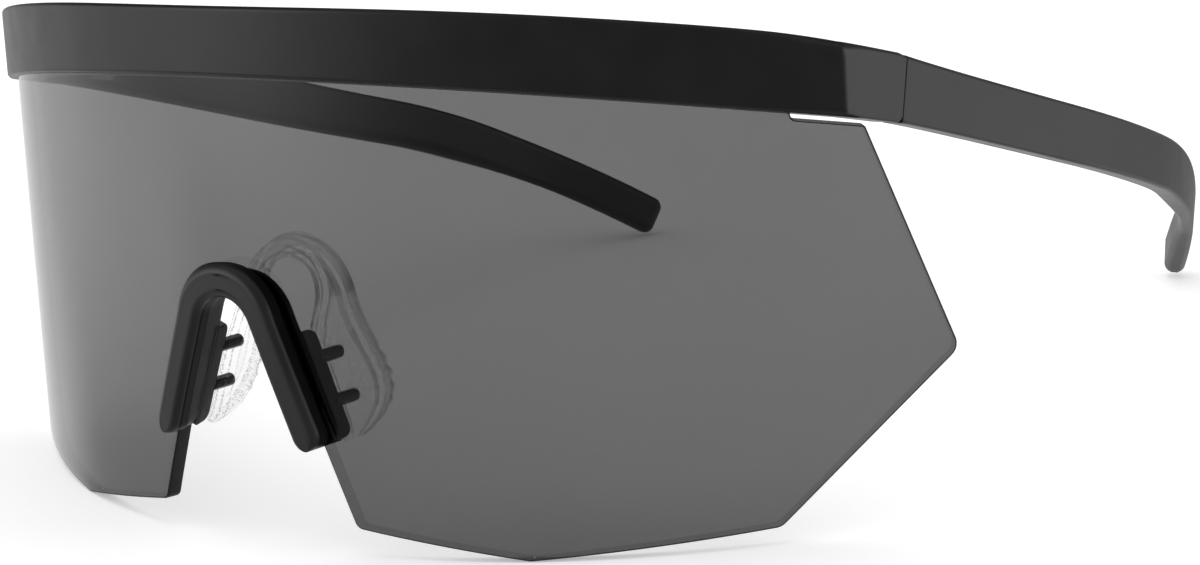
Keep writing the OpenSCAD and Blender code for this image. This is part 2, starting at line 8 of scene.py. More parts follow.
import logging
import math
from dataclasses import dataclass
from enum import Enum

import bmesh
import bpy
import numpy as np
from mathutils import Matrix

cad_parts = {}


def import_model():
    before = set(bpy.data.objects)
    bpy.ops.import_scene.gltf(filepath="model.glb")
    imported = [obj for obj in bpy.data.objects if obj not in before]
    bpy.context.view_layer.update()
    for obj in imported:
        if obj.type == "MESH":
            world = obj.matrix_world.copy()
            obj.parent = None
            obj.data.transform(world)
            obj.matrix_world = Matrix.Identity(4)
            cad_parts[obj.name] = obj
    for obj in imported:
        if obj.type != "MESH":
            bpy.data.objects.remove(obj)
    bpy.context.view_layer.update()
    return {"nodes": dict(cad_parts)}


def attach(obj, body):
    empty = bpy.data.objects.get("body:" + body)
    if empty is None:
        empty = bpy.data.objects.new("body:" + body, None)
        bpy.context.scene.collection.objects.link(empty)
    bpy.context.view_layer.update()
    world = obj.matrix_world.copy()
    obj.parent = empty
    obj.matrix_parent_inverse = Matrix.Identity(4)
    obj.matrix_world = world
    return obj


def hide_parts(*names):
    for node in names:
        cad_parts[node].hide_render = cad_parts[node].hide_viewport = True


LOG = logging.getLogger("sunglasses")
Array = np.ndarray
Faces = tuple[Array, Array, Array]
Colour = tuple[float, float, float]
Socket = bpy.types.NodeSocket
NOISE_RANGE = (0.3, 0.7)


class Side(Enum):
    """The wearer's sides, with the sign of X on each."""

    LEFT = 1
    RIGHT = -1

    @property
    def body(self) -> str:
        """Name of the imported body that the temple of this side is."""
        return f"{self.name.lower()}_arm"

    @property
    def temple(self) -> str:
        """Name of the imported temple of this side."""
        return f"temple_{self.name.lower()}"


class Slot(Enum):
    """The material slots of the record."""

    PLASTIC = "matte_black"
    CLIP = "clip_black"
    LENS = "smoke_lens"
    SILICONE = "clear_silicone"
    STEEL = "hinge_steel"


class ClipFace(Enum):
    """The kinds of face on the nose clip, with the number of the plastic of each: two paint shade, one
    paints light.
    """

    LIP = 0
    BODY_WALL = 1
    SHADED = 2
    FLANGE = 3


@dataclass(frozen=True)
class RestPose:
    """How the drawing frame stands on the floor: leaned about X, then shifted."""

    lean: float = 15.3814
    shift: float = -72.6867
    ground: float = -56.5707

    def turned(self, vectors: Array) -> Array:
        """Turns directions from the drawing frame to the row frame.

        Args:
            vectors: directions, with x, y and z on the last axis.

        Returns:
            The same directions in the row frame.
        """
        c, s = math.cos(math.radians(self.lean)), math.sin(math.radians(self.lean))
        x, y, z = np.moveaxis(np.asarray(vectors, float), -1, 0)
        return np.stack([x, y * c + z * s, z * c - y * s], -1)

    def placed(self, points: Array) -> Array:
        """Carries points from the drawing frame in millimetres to the row frame in metres.

        Args:
            points: points, with x, y and z on the last axis.

        Returns:
            The same points in the row frame, in metres.
        """
        return (self.turned(points) + np.array([0.0, self.shift, -self.ground])) / 1000


# Plain helpers for surfaces


def smooth_step(values: Array) -> Array:
    """Three squared less two cubed, of values held between 0 and 1."""
    held = np.clip(values, 0, 1)
    return held * held * (3 - 2 * held)


def eased_curve(shares: Array, table: tuple, spread: float = 0.03) -> Array:
    """Reads a table of (share, value) pairs as a soft curve.

    The table is read as straight pieces, then averaged over a bell of the given spread, with the
    curve carried on at both ends by point reflection so that the ends keep their values.

    Args:
        shares: where the curve is read, from 0 to 1.
        table: pairs of share and value.
        spread: width of the bell, as a share.

    Returns:
        The values of the soft curve at the shares.
    """
    step, margin, bell_reach = 0.001, 0.2, 0.15
    at, value = np.array(table, float).T
    fine = np.linspace(-margin, 1 + margin, round((1 + 2 * margin) / step) + 1)
    inner = np.interp(np.clip(fine, 0, 1), at, value)
    low = 2 * value[0] - np.interp(-fine, at, value)
    high = 2 * value[-1] - np.interp(2 - fine, at, value)
    curve = np.where(fine < 0, low, np.where(fine > 1, high, inner))
    count = round(bell_reach / step)
    bell = np.exp(-0.5 * (np.arange(-count, count + 1) * step / spread) ** 2)
    return np.interp(shares, fine, np.convolve(curve, bell / bell.sum(), "same"))


def rounded_path(corners: Array, radii: list[float], counts: list[int], steps: int = 8) -> Array:
    """A flat open path through corners, each of which is rounded by an arc that touches its sides.

    Args:
        corners: the corner points (n, 2); the first and last are the ends.
        radii: the radius at each inner corner (n - 2).
        counts: how many points each straight stretch gets (n - 1).
        steps: how many steps an arc has.

    Returns:
        The points of the path (m, 2).
    """
    corners = np.asarray(corners, float)
    start, out = corners[0], []
    for i, radius in enumerate(radii):
        before, corner, after = corners[i], corners[i + 1], corners[i + 2]
        a = (before - corner) / np.linalg.norm(before - corner)
        b = (after - corner) / np.linalg.norm(after - corner)
        half = math.acos(float(np.clip(a @ b, -1, 1))) / 2
        reach = radius / math.tan(half)
        centre = corner + (a + b) / np.linalg.norm(a + b) * radius / math.sin(half)
        first, last = corner + a * reach, corner + b * reach
        share = np.linspace(0, 1, counts[i], endpoint=False)[:, None]
        out.append(start + (first - start) * share)
        turn = np.linspace(0, 1, steps + 1)[:, None]
        chord = math.pi - 2 * half
        spoke = np.sin((1 - turn) * chord) * (first - centre) + np.sin(turn * chord) * (last - centre)
        out.append((centre + spoke / math.sin(chord))[:-1])
        start = last
    share = np.linspace(0, 1, counts[-1])[:, None]
    out.append(start + (corners[-1] - start) * share)
    return np.concatenate(out)


@dataclass(frozen=True)
class RoundedBox:
    """A closed cross-section with four flat faces and four round edges.

    It is kept as shares of a width (first axis) and of a height (second axis), plus offsets in
    edge radii, so that one loop serves every station of a piece whatever its size there. The loop
    starts at the low outer edge and goes up the outer face, across the top and down the inner face.
    """

    steps: int
    rows: tuple[int, int, int, int]
    support: float

    def loop(self) -> tuple[Array, Array, Array]:
        """Works out the loop once.

        Returns:
            The shares (m, 2), the offsets in radii (m, 2) and the edge that each point belongs to.
        """
        turn = np.linspace(0, math.pi / 2, self.steps + 1)
        rise, sweep = 1 - np.sin(turn), 1 - np.cos(turn)
        far = 1 + self.support
        zero = np.zeros(1)
        anchors, offsets, edges = [], [], []
        corner_at = ((0, 0), (0, 1), (1, 1), (1, 0))
        arcs = (
            (np.r_[far, rise, zero], np.r_[zero, sweep, far]),
            (np.r_[zero, sweep, far], np.r_[-far, -rise, zero]),
            (np.r_[-far, -rise, zero], np.r_[zero, -sweep, -far]),
            (np.r_[zero, -sweep, -far], np.r_[far, rise, zero]),
        )
        for edge, (corner, arc) in enumerate(zip(corner_at, arcs)):
            size = len(arc[0])
            anchors.append(np.tile(np.array(corner, float), (size, 1)))
            offsets.append(np.stack(arc, 1))
            edges.append(np.full(size, edge))
            after = np.array(corner_at[(edge + 1) % 4], float)
            share = (np.arange(1, self.rows[edge] + 1) / (self.rows[edge] + 1))[:, None]
            anchors.append(np.array(corner, float) + (after - np.array(corner, float)) * share)
            offsets.append(np.zeros((self.rows[edge], 2)))
            edges.append(np.full(self.rows[edge], edge))
        return np.concatenate(anchors), np.concatenate(offsets), np.concatenate(edges)

    def sections(self, width: Array, height: Array, radii: Array) -> tuple[Array, Array]:
        """Sizes the loop for every station.

        Args:
            width: width of each station (n,).
            height: height of each station (n,).
            radii: radius of the four edges at each station (n, 4).

        Returns:
            Distance across and distance up of every point (n, m), from the low outer corner.
        """
        anchors, offsets, edges = self.loop()
        radius = radii[:, edges]
        across = anchors[:, 0] * width[:, None] + offsets[:, 0] * radius
        up = anchors[:, 1] * height[:, None] + offsets[:, 1] * radius
        return across, up


def grid_faces(rows: int, columns: int, around: bool = False) -> Array:
    """Four-sided faces over a grid of points that are numbered row by row.

    Args:
        rows: how many rows there are.
        columns: how many points each row has.
        around: whether each row closes on itself.

    Returns:
        The faces (n, 4), each of which goes along its own row first.
    """
    i, j = np.meshgrid(np.arange(rows - 1), np.arange(columns if around else columns - 1), indexing="ij")
    here, there, k = i * columns, (i + 1) * columns, (j + 1) % columns
    return np.stack([here + j, here + k, there + k, there + j], -1).reshape(-1, 4)


def skin(rings: Array) -> Faces:
    """A closed skin over a row of rings, shut at both ends by a fan to the middle of the ring.

    Args:
        rings: the points of the rings (n, m, 3).

    Returns:
        The points, the four-sided faces and the three-sided faces.
    """
    n, m = rings.shape[:2]
    points = np.concatenate([rings.reshape(-1, 3), np.stack([rings[0].mean(0), rings[-1].mean(0)])])
    a, b = np.arange(m), (np.arange(m) + 1) % m
    near = np.stack([b, a, np.full(m, n * m)], -1)
    tail = np.stack([(n - 1) * m + a, (n - 1) * m + b, np.full(m, n * m + 1)], -1)
    return facing_out(points, grid_faces(n, m, around=True), np.concatenate([near, tail]))


def facing_out(points: Array, quads: Array, tris: Array) -> Faces:
    """Turns all the faces of a closed skin round if its volume comes out negative.

    Args:
        points: the points (n, 3).
        quads: the four-sided faces.
        tris: the three-sided faces.

    Returns:
        The points and the faces, which point outwards.
    """
    corners = np.concatenate([quads[:, [0, 1, 2]], quads[:, [0, 2, 3]], tris])
    a, b, c = (points[corners[:, i]] for i in range(3))
    if np.einsum("ij,ij->i", a, np.cross(b, c)).sum() < 0:
        quads, tris = quads[:, ::-1], tris[:, ::-1]
    return points, quads, tris


def eased_edges(low: float, high: float, radius: float, steps: int = 5) -> tuple[Array, Array]:
    """Places across a wall with two round edges, each a quarter turn.

    Args:
        low: where the wall starts.
        high: where it ends.
        radius: radius of both edges.
        steps: how many places each edge has.

    Returns:
        The places, and how far in from the outline the wall is at each.
    """
    turn = np.linspace(0, math.pi / 2, steps)
    across, ins = radius * (1 - np.cos(turn)), radius * (1 - np.sin(turn))
    return np.concatenate([low + across, high - across[::-1]]), np.concatenate([ins, ins[::-1]])


def joined(parts: list[Faces]) -> Faces:
    """Several skins as one set of points and faces.

    Args:
        parts: the skins.

    Returns:
        All their points, and their faces with the numbers of the points moved on.
    """
    points, quads, tris, base = [], [], [], 0
    for part in parts:
        points.append(part[0])
        quads.append(part[1] + base)
        tris.append(part[2] + base)
        base += len(part[0])
    return np.concatenate(points), np.concatenate(quads), np.concatenate(tris)


def mirrored(part: Faces) -> Faces:
    """The same skin on the other side of X = 0, its faces turned round to point outwards."""
    return part[0] * np.array([-1, 1, 1]), part[1][:, ::-1], part[2][:, ::-1]


def make_object(name: str, part: Faces, pose: RestPose, sharp: float = 40) -> bpy.types.Object:
    """Makes a smooth-shaded object at the origin, with its place in its mesh.

    Args:
        name: name of the object.
        part: points in millimetres in the drawing frame, and faces.
        pose: how the drawing frame stands.
        sharp: angle in degrees past which an edge is shaded sharp.

    Returns:
        The new object, linked to the scene.
    """
    points, quads, tris = part
    mesh = bpy.data.meshes.new(name)
    mesh.from_pydata(pose.placed(points).tolist(), [], quads.tolist() + tris.tolist())
    mesh.polygons.foreach_set("use_smooth", np.ones(len(mesh.polygons), bool))
    mesh.set_sharp_from_angle(angle=math.radians(sharp))
    mesh.update()
    made = bpy.data.objects.new(name, mesh)
    bpy.context.scene.collection.objects.link(made)
    return made


def weld(mesh: bpy.types.Mesh, reach: float = 2e-6, speck: float = 1e-7) -> None:
    """Merges the points in one place and turns all the faces outwards.

    Args:
        mesh: the mesh, which is changed.
        reach: how close points lie that are merged, in metres.
        speck: length of the edges that are too short to keep, in metres.
    """
    work = bmesh.new()
    work.from_mesh(mesh)
    bmesh.ops.remove_doubles(work, verts=work.verts, dist=reach)
    bmesh.ops.dissolve_degenerate(work, edges=work.edges, dist=speck)
    bmesh.ops.recalc_face_normals(work, faces=work.faces)
    work.to_mesh(mesh)
    work.free()


# Finishes


@dataclass(frozen=True)
class Grade:
    """Numbers that go from low to high while what they follow goes from start to end."""

    low: float
    high: float
    start: float = 0.0
    end: float = 1.0
    eased: bool = True


class NodeBoard:
    """A short way to lay out the nodes of one material or world."""

    def __init__(self, tree: bpy.types.NodeTree) -> None:
        """Takes the tree and clears it."""
        self.tree = tree
        tree.nodes.clear()

    def add(self, kind: str, values: dict | None = None, **properties: object) -> bpy.types.Node:
        """Adds a node.

        Args:
            kind: type name of the node.
            values: input sockets by name or number, each given a value or linked to an output.
            properties: settings of the node.

        Returns:
            The new node.
        """
        node = self.tree.nodes.new(kind)
        for key, value in properties.items():
            setattr(node, key, value)
        for key, value in (values or {}).items():
            if isinstance(value, bpy.types.NodeSocket):
                self.tree.links.new(value, node.inputs[key])
            else:
                node.inputs[key].default_value = value
        return node

    def math(self, operation: str, a: object, b: object = 0.0) -> Socket:
        """The result of one sum of two numbers or outputs."""
        return self.add("ShaderNodeMath", {0: a, 1: b}, operation=operation).outputs[0]

    def noise(self, scale: float, detail: float = 2.0) -> Socket:
        """A noise on the piece's own coordinates.

        Args:
            scale: how many waves a metre has.
            detail: how many finer layers are added.

        Returns:
            The noise, mostly within NOISE_RANGE.
        """
        place = self.add("ShaderNodeTexCoord").outputs["Object"]
        made = self.add("ShaderNodeTexNoise", {"Vector": place, "Scale": scale, "Detail": detail})
        return made.outputs["Fac"]

    def ramp(
        self, source: Socket, low: Colour, high: Colour, start: float = 0.35, end: float = 0.65
    ) -> Socket:
        """Colours between two ends.

        Args:
            source: the number that they follow.
            low: colour at the start.
            high: colour at the end.
            start: the number where the change starts.
            end: the number where it ends.

        Returns:
            The colour.
        """
        node = self.add("ShaderNodeValToRGB", {"Fac": source})
        for element, at, colour in zip(node.color_ramp.elements, (start, end), (low, high)):
            element.position, element.color = at, (*colour, 1.0)
        return node.outputs["Color"]

    def span(self, source: Socket, low: float, high: float, start: float = 0.0, end: float = 1.0) -> Socket:
        """Numbers between low and high, as the source goes from start to end."""
        return self.grade(source, Grade(low, high, start, end, eased=False))

    def grade(self, source: Socket, grade: Grade) -> Socket:
        """Numbers that follow a source by a grade.

        Args:
            source: the number that they follow.
            grade: where they start and end, and whether the change is eased.

        Returns:
            The numbers.
        """
        values = {0: source, 1: grade.start, 2: grade.end, 3: grade.low, 4: grade.high}
        way = "SMOOTHSTEP" if grade.eased else "LINEAR"
        return self.add("ShaderNodeMapRange", values, interpolation_type=way).outputs[0]

    def mix(self, share: Socket, a: object, b: object) -> Socket:
        """Numbers between a and b, by a share."""
        return self.add("ShaderNodeMix", {0: share, 2: a, 3: b}, data_type="FLOAT").outputs[0]

    def dot(self, source: Socket, direction: tuple[float, float, float]) -> Socket:
        """How far a direction points the same way as a fixed one."""
        node = self.add("ShaderNodeVectorMath", {0: source, 1: direction}, operation="DOT_PRODUCT")
        return node.outputs["Value"]

    def grazing(self, power: float) -> Socket:
        """How low the angle is at which the surface is seen, from 0 to 1, raised to a power."""
        facing = self.add("ShaderNodeLayerWeight", {"Blend": 0.5}).outputs["Facing"]
        return self.math("POWER", facing, power)

    def on_front(self, share: Socket) -> Socket:
        """A share where the face is seen from its front, and nothing from behind."""
        behind = self.add("ShaderNodeNewGeometry").outputs["Backfacing"]
        return self.math("MULTIPLY", share, self.math("SUBTRACT", 1.0, behind))

    def blend(self, share: Socket, a: bpy.types.Node, b: bpy.types.Node) -> bpy.types.Node:
        """A shader between two others, by a share."""
        return self.add("ShaderNodeMixShader", {0: share, 1: a.outputs[0], 2: b.outputs[0]})

    def show(self, shader: bpy.types.Node, kind: str = "ShaderNodeOutputMaterial") -> None:
        """Makes a shader the one that the tree gives out."""
        self.add(kind, {"Surface": shader.outputs[0]})


def new_material(name: str) -> tuple[bpy.types.Material, NodeBoard]:
    """An empty material and the board that its nodes go on.

    Args:
        name: name of the material.

    Returns:
        The material and the board.
    """
    material = bpy.data.materials.new(name)
    material.use_nodes = True
    return material, NodeBoard(material.node_tree)


def mirror_shader(board: NodeBoard, roughness: float) -> bpy.types.Node:
    """A white mirror with a roughness, for the shine of a clear piece."""
    return board.add("ShaderNodeBsdfGlossy", {"Color": (1, 1, 1, 1), "Roughness": roughness})


@dataclass(frozen=True)
class MattePlastic:
    """Black moulded plastic with a soft-touch surface: a very fine grain and a slightly uneven sheen."""

    name: str
    dark: Colour = (0.0055, 0.0055, 0.006)
    light: Colour = (0.0085, 0.0085, 0.009)
    roughness: tuple[float, float] = (0.36, 0.42)
    specular: float = 0.5
    cloud_scale: float = 160.0
    grain: float = 5200.0
    grain_strength: float = 0.06
    grain_depth: float = 0.00002

    def material(self) -> bpy.types.Material:
        """Builds the plastic.

        Returns:
            The material.
        """
        material, board = new_material(self.name)
        cloud = board.noise(self.cloud_scale, detail=3.0)
        grain = {
            "Height": board.noise(self.grain, detail=1.0),
            "Strength": self.grain_strength,
            "Distance": self.grain_depth,
        }
        shader = board.add(
            "ShaderNodeBsdfPrincipled",
            {
                "Base Color": board.ramp(cloud, self.dark, self.light),
                "Roughness": board.span(cloud, *self.roughness, *NOISE_RANGE),
                "Specular IOR Level": self.specular,
                "Normal": board.add("ShaderNodeBump", grain).outputs[0],
            },
        )
        board.show(shader)
        return material


CLIP_PLASTICS = {
    ClipFace.LIP: MattePlastic(
        "clip_black_plastic", dark=(0.01, 0.01, 0.0105), light=(0.014, 0.014, 0.0145)
    ),
    # Painted shade: a darker, less shiny copy of the plastic for the body's wall on the lens, where shade
    # falls between lip and lens.
    ClipFace.BODY_WALL: MattePlastic(
        "clip_wall_painted_shade",
        dark=(0.002, 0.002, 0.002),
        light=(0.004, 0.004, 0.004),
        roughness=(0.5, 0.6),
        specular=0.12,
    ),
    # Painted shade: a darker, less shiny copy of the plastic for faces towards the nose, inner walls and
    # the lip's wall on the lens.
    ClipFace.SHADED: MattePlastic(
        "clip_painted_shade",
        dark=(0.004, 0.004, 0.0045),
        light=(0.006, 0.006, 0.0065),
        roughness=(0.4, 0.5),
        specular=0.12,
    ),
    # Painted light: a lighter grey copy of the black plastic for the flanges and pegs, standing in for the
    # light in the lens over them.
    ClipFace.FLANGE: MattePlastic(
        "clip_flange_painted_light",
        dark=(0.08, 0.08, 0.081),
        light=(0.09, 0.09, 0.091),
        roughness=(0.4, 0.5),
    ),
}


@dataclass(frozen=True)
class SmokeLens:
    """Neutral grey see-through sheet. Its two faces each let the same share of light through, and
    only the face towards the viewer mirrors the room, strongly where it is seen at a low angle."""

    name: str = "smoke_lens_sheet"
    clear: Colour = (0.374, 0.373, 0.374)
    deep: Colour = (0.368, 0.368, 0.369)
    cloud_scale: float = 30.0
    roughness: float = 0.03
    face_mirror: float = 0.04
    edge_mirror: float = 1.0
    edge_power: float = 5.0

    def material(self) -> bpy.types.Material:
        """Builds the sheet.

        Returns:
            The material.
        """
        material, board = new_material(self.name)
        tint = board.ramp(board.noise(self.cloud_scale), self.clear, self.deep)
        through = board.add("ShaderNodeBsdfTransparent", {"Color": tint})
        share = board.span(board.grazing(self.edge_power), self.face_mirror, self.edge_mirror)
        board.show(board.blend(board.on_front(share), through, mirror_shader(board, self.roughness)))
        return material


@dataclass(frozen=True)
class LensRim:
    """The polished cut edge of the lens. It is nearly black, because it is seen through its length,
    and lets light through where it is seen from inside. Where it faces up it is partly see-through
    to the white room, which is painted light on its upper faces."""

    name: str = "smoke_lens_rim"
    colour: Colour = (0.010, 0.010, 0.0105)
    worn: Colour = (0.016, 0.016, 0.0165)
    inside: Colour = (0.3, 0.3, 0.3)
    cloud_scale: float = 400.0
    roughness: float = 0.5
    specular: float = 0.25
    upward: Grade = Grade(0.0, 0.8, 0.3, 0.9, eased=False)

    def material(self) -> bpy.types.Material:
        """Builds the rim.

        Returns:
            The material.
        """
        material, board = new_material(self.name)
        colour = board.ramp(board.noise(self.cloud_scale), self.colour, self.worn)
        shader = board.add(
            "ShaderNodeBsdfPrincipled",
            {"Base Color": colour, "Roughness": self.roughness, "Specular IOR Level": self.specular},
        )
        inside = board.add("ShaderNodeBsdfTransparent", {"Color": (*self.inside, 1.0)})
        surface = board.add("ShaderNodeNewGeometry").outputs
        upward = board.add("ShaderNodeSeparateXYZ", {0: surface["Normal"]}).outputs["Z"]
        # Painted light: the rim turns see-through to the white room where it faces up.
        see_in = board.math("MAXIMUM", surface["Backfacing"], board.grade(upward, self.upward))
        board.show(board.blend(see_in, shader, inside))
        return material


@dataclass(frozen=True)
class ClearSilicone:
    """Clear soft silicone: see-through, a little milky, and darker where it is seen at a low angle."""

    name: str = "clear_silicone"
    clear: Colour = (0.985, 0.985, 0.985)
    edge: Colour = (0.66, 0.66, 0.66)
    milk_colour: tuple[float, float, float, float] = (0.85, 0.86, 0.87, 1.0)
    milk: tuple[float, float] = (0.006, 0.026)
    gloss: tuple[float, float] = (0.012, 0.5)
    roughness: float = 0.16
    edge_power: float = 5.0
    cloud_scale: float = 420.0

    def material(self) -> bpy.types.Material:
        """Builds the silicone.

        Returns:
            The material.
        """
        material, board = new_material(self.name)
        grazing = board.grazing(self.edge_power)
        tint = board.ramp(grazing, self.clear, self.edge, start=0.0, end=1.0)
        through = board.add("ShaderNodeBsdfTransparent", {"Color": tint})
        milk = board.add("ShaderNodeBsdfDiffuse", {"Color": self.milk_colour})
        cloud = board.span(board.noise(self.cloud_scale, detail=3.0), *self.milk, *NOISE_RANGE)
        body = board.blend(cloud, through, milk)
        share = board.on_front(board.span(grazing, *self.gloss))
        board.show(board.blend(share, body, mirror_shader(board, self.roughness)))
        return material


@dataclass(frozen=True)
class HingeSteel:
    """Stainless steel of the hinge leaves and screws, with a dull tumbled surface."""

    name: str = "hinge_steel"
    dull: Colour = (0.18, 0.18, 0.185)
    bright: Colour = (0.28, 0.28, 0.285)
    roughness: tuple[float, float] = (0.24, 0.38)
    cloud_scale: float = 2600.0

    def material(self) -> bpy.types.Material:
        """Builds the steel.

        Returns:
            The material.
        """
        material, board = new_material(self.name)
        cloud = board.noise(self.cloud_scale, detail=3.0)
        shader = board.add(
            "ShaderNodeBsdfPrincipled",
            {
                "Base Color": board.ramp(cloud, self.dull, self.bright),
                "Roughness": board.span(cloud, *self.roughness, *NOISE_RANGE),
                "Metallic": 1.0,
            },
        )
        board.show(shader)
        return material


# The pieces


@dataclass(frozen=True)
class LensPlan:
    """The bent sheet that the whole front follows: an arc, then a flat wing on each side."""

    radius: float = 88.1
    wing_turn: float = 41.9
    lean: float = 12.15

    @property
    def wing(self) -> float:
        """Turn of the wings in radians."""
        return math.radians(self.wing_turn)

    @property
    def arc_end(self) -> float:
        """Length along the front face from the centre line to where the wing starts."""
        return self.radius * self.wing

    def run_at(self, x: Array) -> Array:
        """Length along the front face at a distance from the centre line.

        Args:
            x: distance from the centre line.

        Returns:
            The radius times the turn on the arc, and on from there along the flat wing.
        """
        size = np.asarray(x, float)
        turned = np.arcsin(np.clip(size / self.radius, -1, math.sin(self.wing)))
        beyond = size - self.radius * math.sin(self.wing)
        return self.radius * turned + np.clip(beyond, 0, None) / math.cos(self.wing)

    def plan(self, run: Array, depth: Array) -> tuple[Array, Array]:
        """Points at a depth behind the front face, by the length along that face.

        On the arc, X is (radius less depth) times the sine of the turn, and the way back is the
        radius less (radius less depth) times its cosine. The wing goes on straight from there.

        Args:
            run: signed length along the front face.
            depth: distance behind the front face, negative in front of it.

        Returns:
            X, and the way back across the lens.
        """
        size = np.abs(run)
        turn = np.minimum(size / self.radius, self.wing)
        beyond = np.clip(size - self.arc_end, 0, None)
        x = (self.radius - depth) * np.sin(turn) + beyond * math.cos(self.wing)
        back = self.radius - (self.radius - depth) * np.cos(turn) + beyond * math.sin(self.wing)
        return np.sign(run) * x, back

    def sag(self, x: Array, depth: Array) -> Array:
        """Way back of the sheet at a distance x from the centre line, at a depth behind its front."""
        return self.radius - np.sqrt((self.radius - depth) ** 2 - x * x)

    def leaned(self, x: Array, back: Array, up: Array) -> Array:
        """Points of the drawing frame from the lens's own way back and way up.

        Args:
            x: distance from the centre line.
            back: way back, square to the leaning lens at its middle.
            up: way up along the lens.

        Returns:
            The points, with x, y and z on the last axis.
        """
        c, s = math.cos(math.radians(self.lean)), math.sin(math.radians(self.lean))
        x, back, up = np.broadcast_arrays(x, back, up)
        return np.stack([x, back * c - up * s, back * s + up * c], -1)

    def up_at(self, run: Array, height: Array) -> Array:
        """Way up along the lens of the point of its front face that lies at a height."""
        c, s = math.cos(math.radians(self.lean)), math.sin(math.radians(self.lean))
        return (height - self.plan(run, 0.0)[1] * s) / c


@dataclass(frozen=True)
class NotchPath:
    """The line of the nose notch: an arc over the top, then a straight slanted leg on each side."""

    radius: float = 6.1
    centre: float = -30.1
    slant: float = 21.4

    @property
    def arc(self) -> float:
        """Length of the arc on one side."""
        return self.radius * (math.pi / 2 - math.radians(self.slant))

    def run_to(self, drop: float) -> float:
        """Length from the top to where the leg is at a way down the lens."""
        slant = math.radians(self.slant)
        return self.arc + (self.centre + self.radius * math.sin(slant) + drop) / math.cos(slant)

    def at(self, run: Array, offset: Array) -> tuple[Array, Array]:
        """Points beside the line.

        Over the arc a point lies at (radius plus offset) from the arc's centre; down the leg it
        keeps the last spoke and goes on along the slant.

        Args:
            run: signed length from the top.
            offset: distance out from the notch, onto the lens.

        Returns:
            X and the way up along the lens.
        """
        size, slant = np.abs(run), math.radians(self.slant)
        turn = np.minimum(size, self.arc) / self.radius
        beyond = np.clip(size - self.arc, 0, None)
        x = (self.radius + offset) * np.sin(turn) + beyond * math.sin(slant)
        up = self.centre + (self.radius + offset) * np.cos(turn) - beyond * math.cos(slant)
        return np.sign(run) * x, up


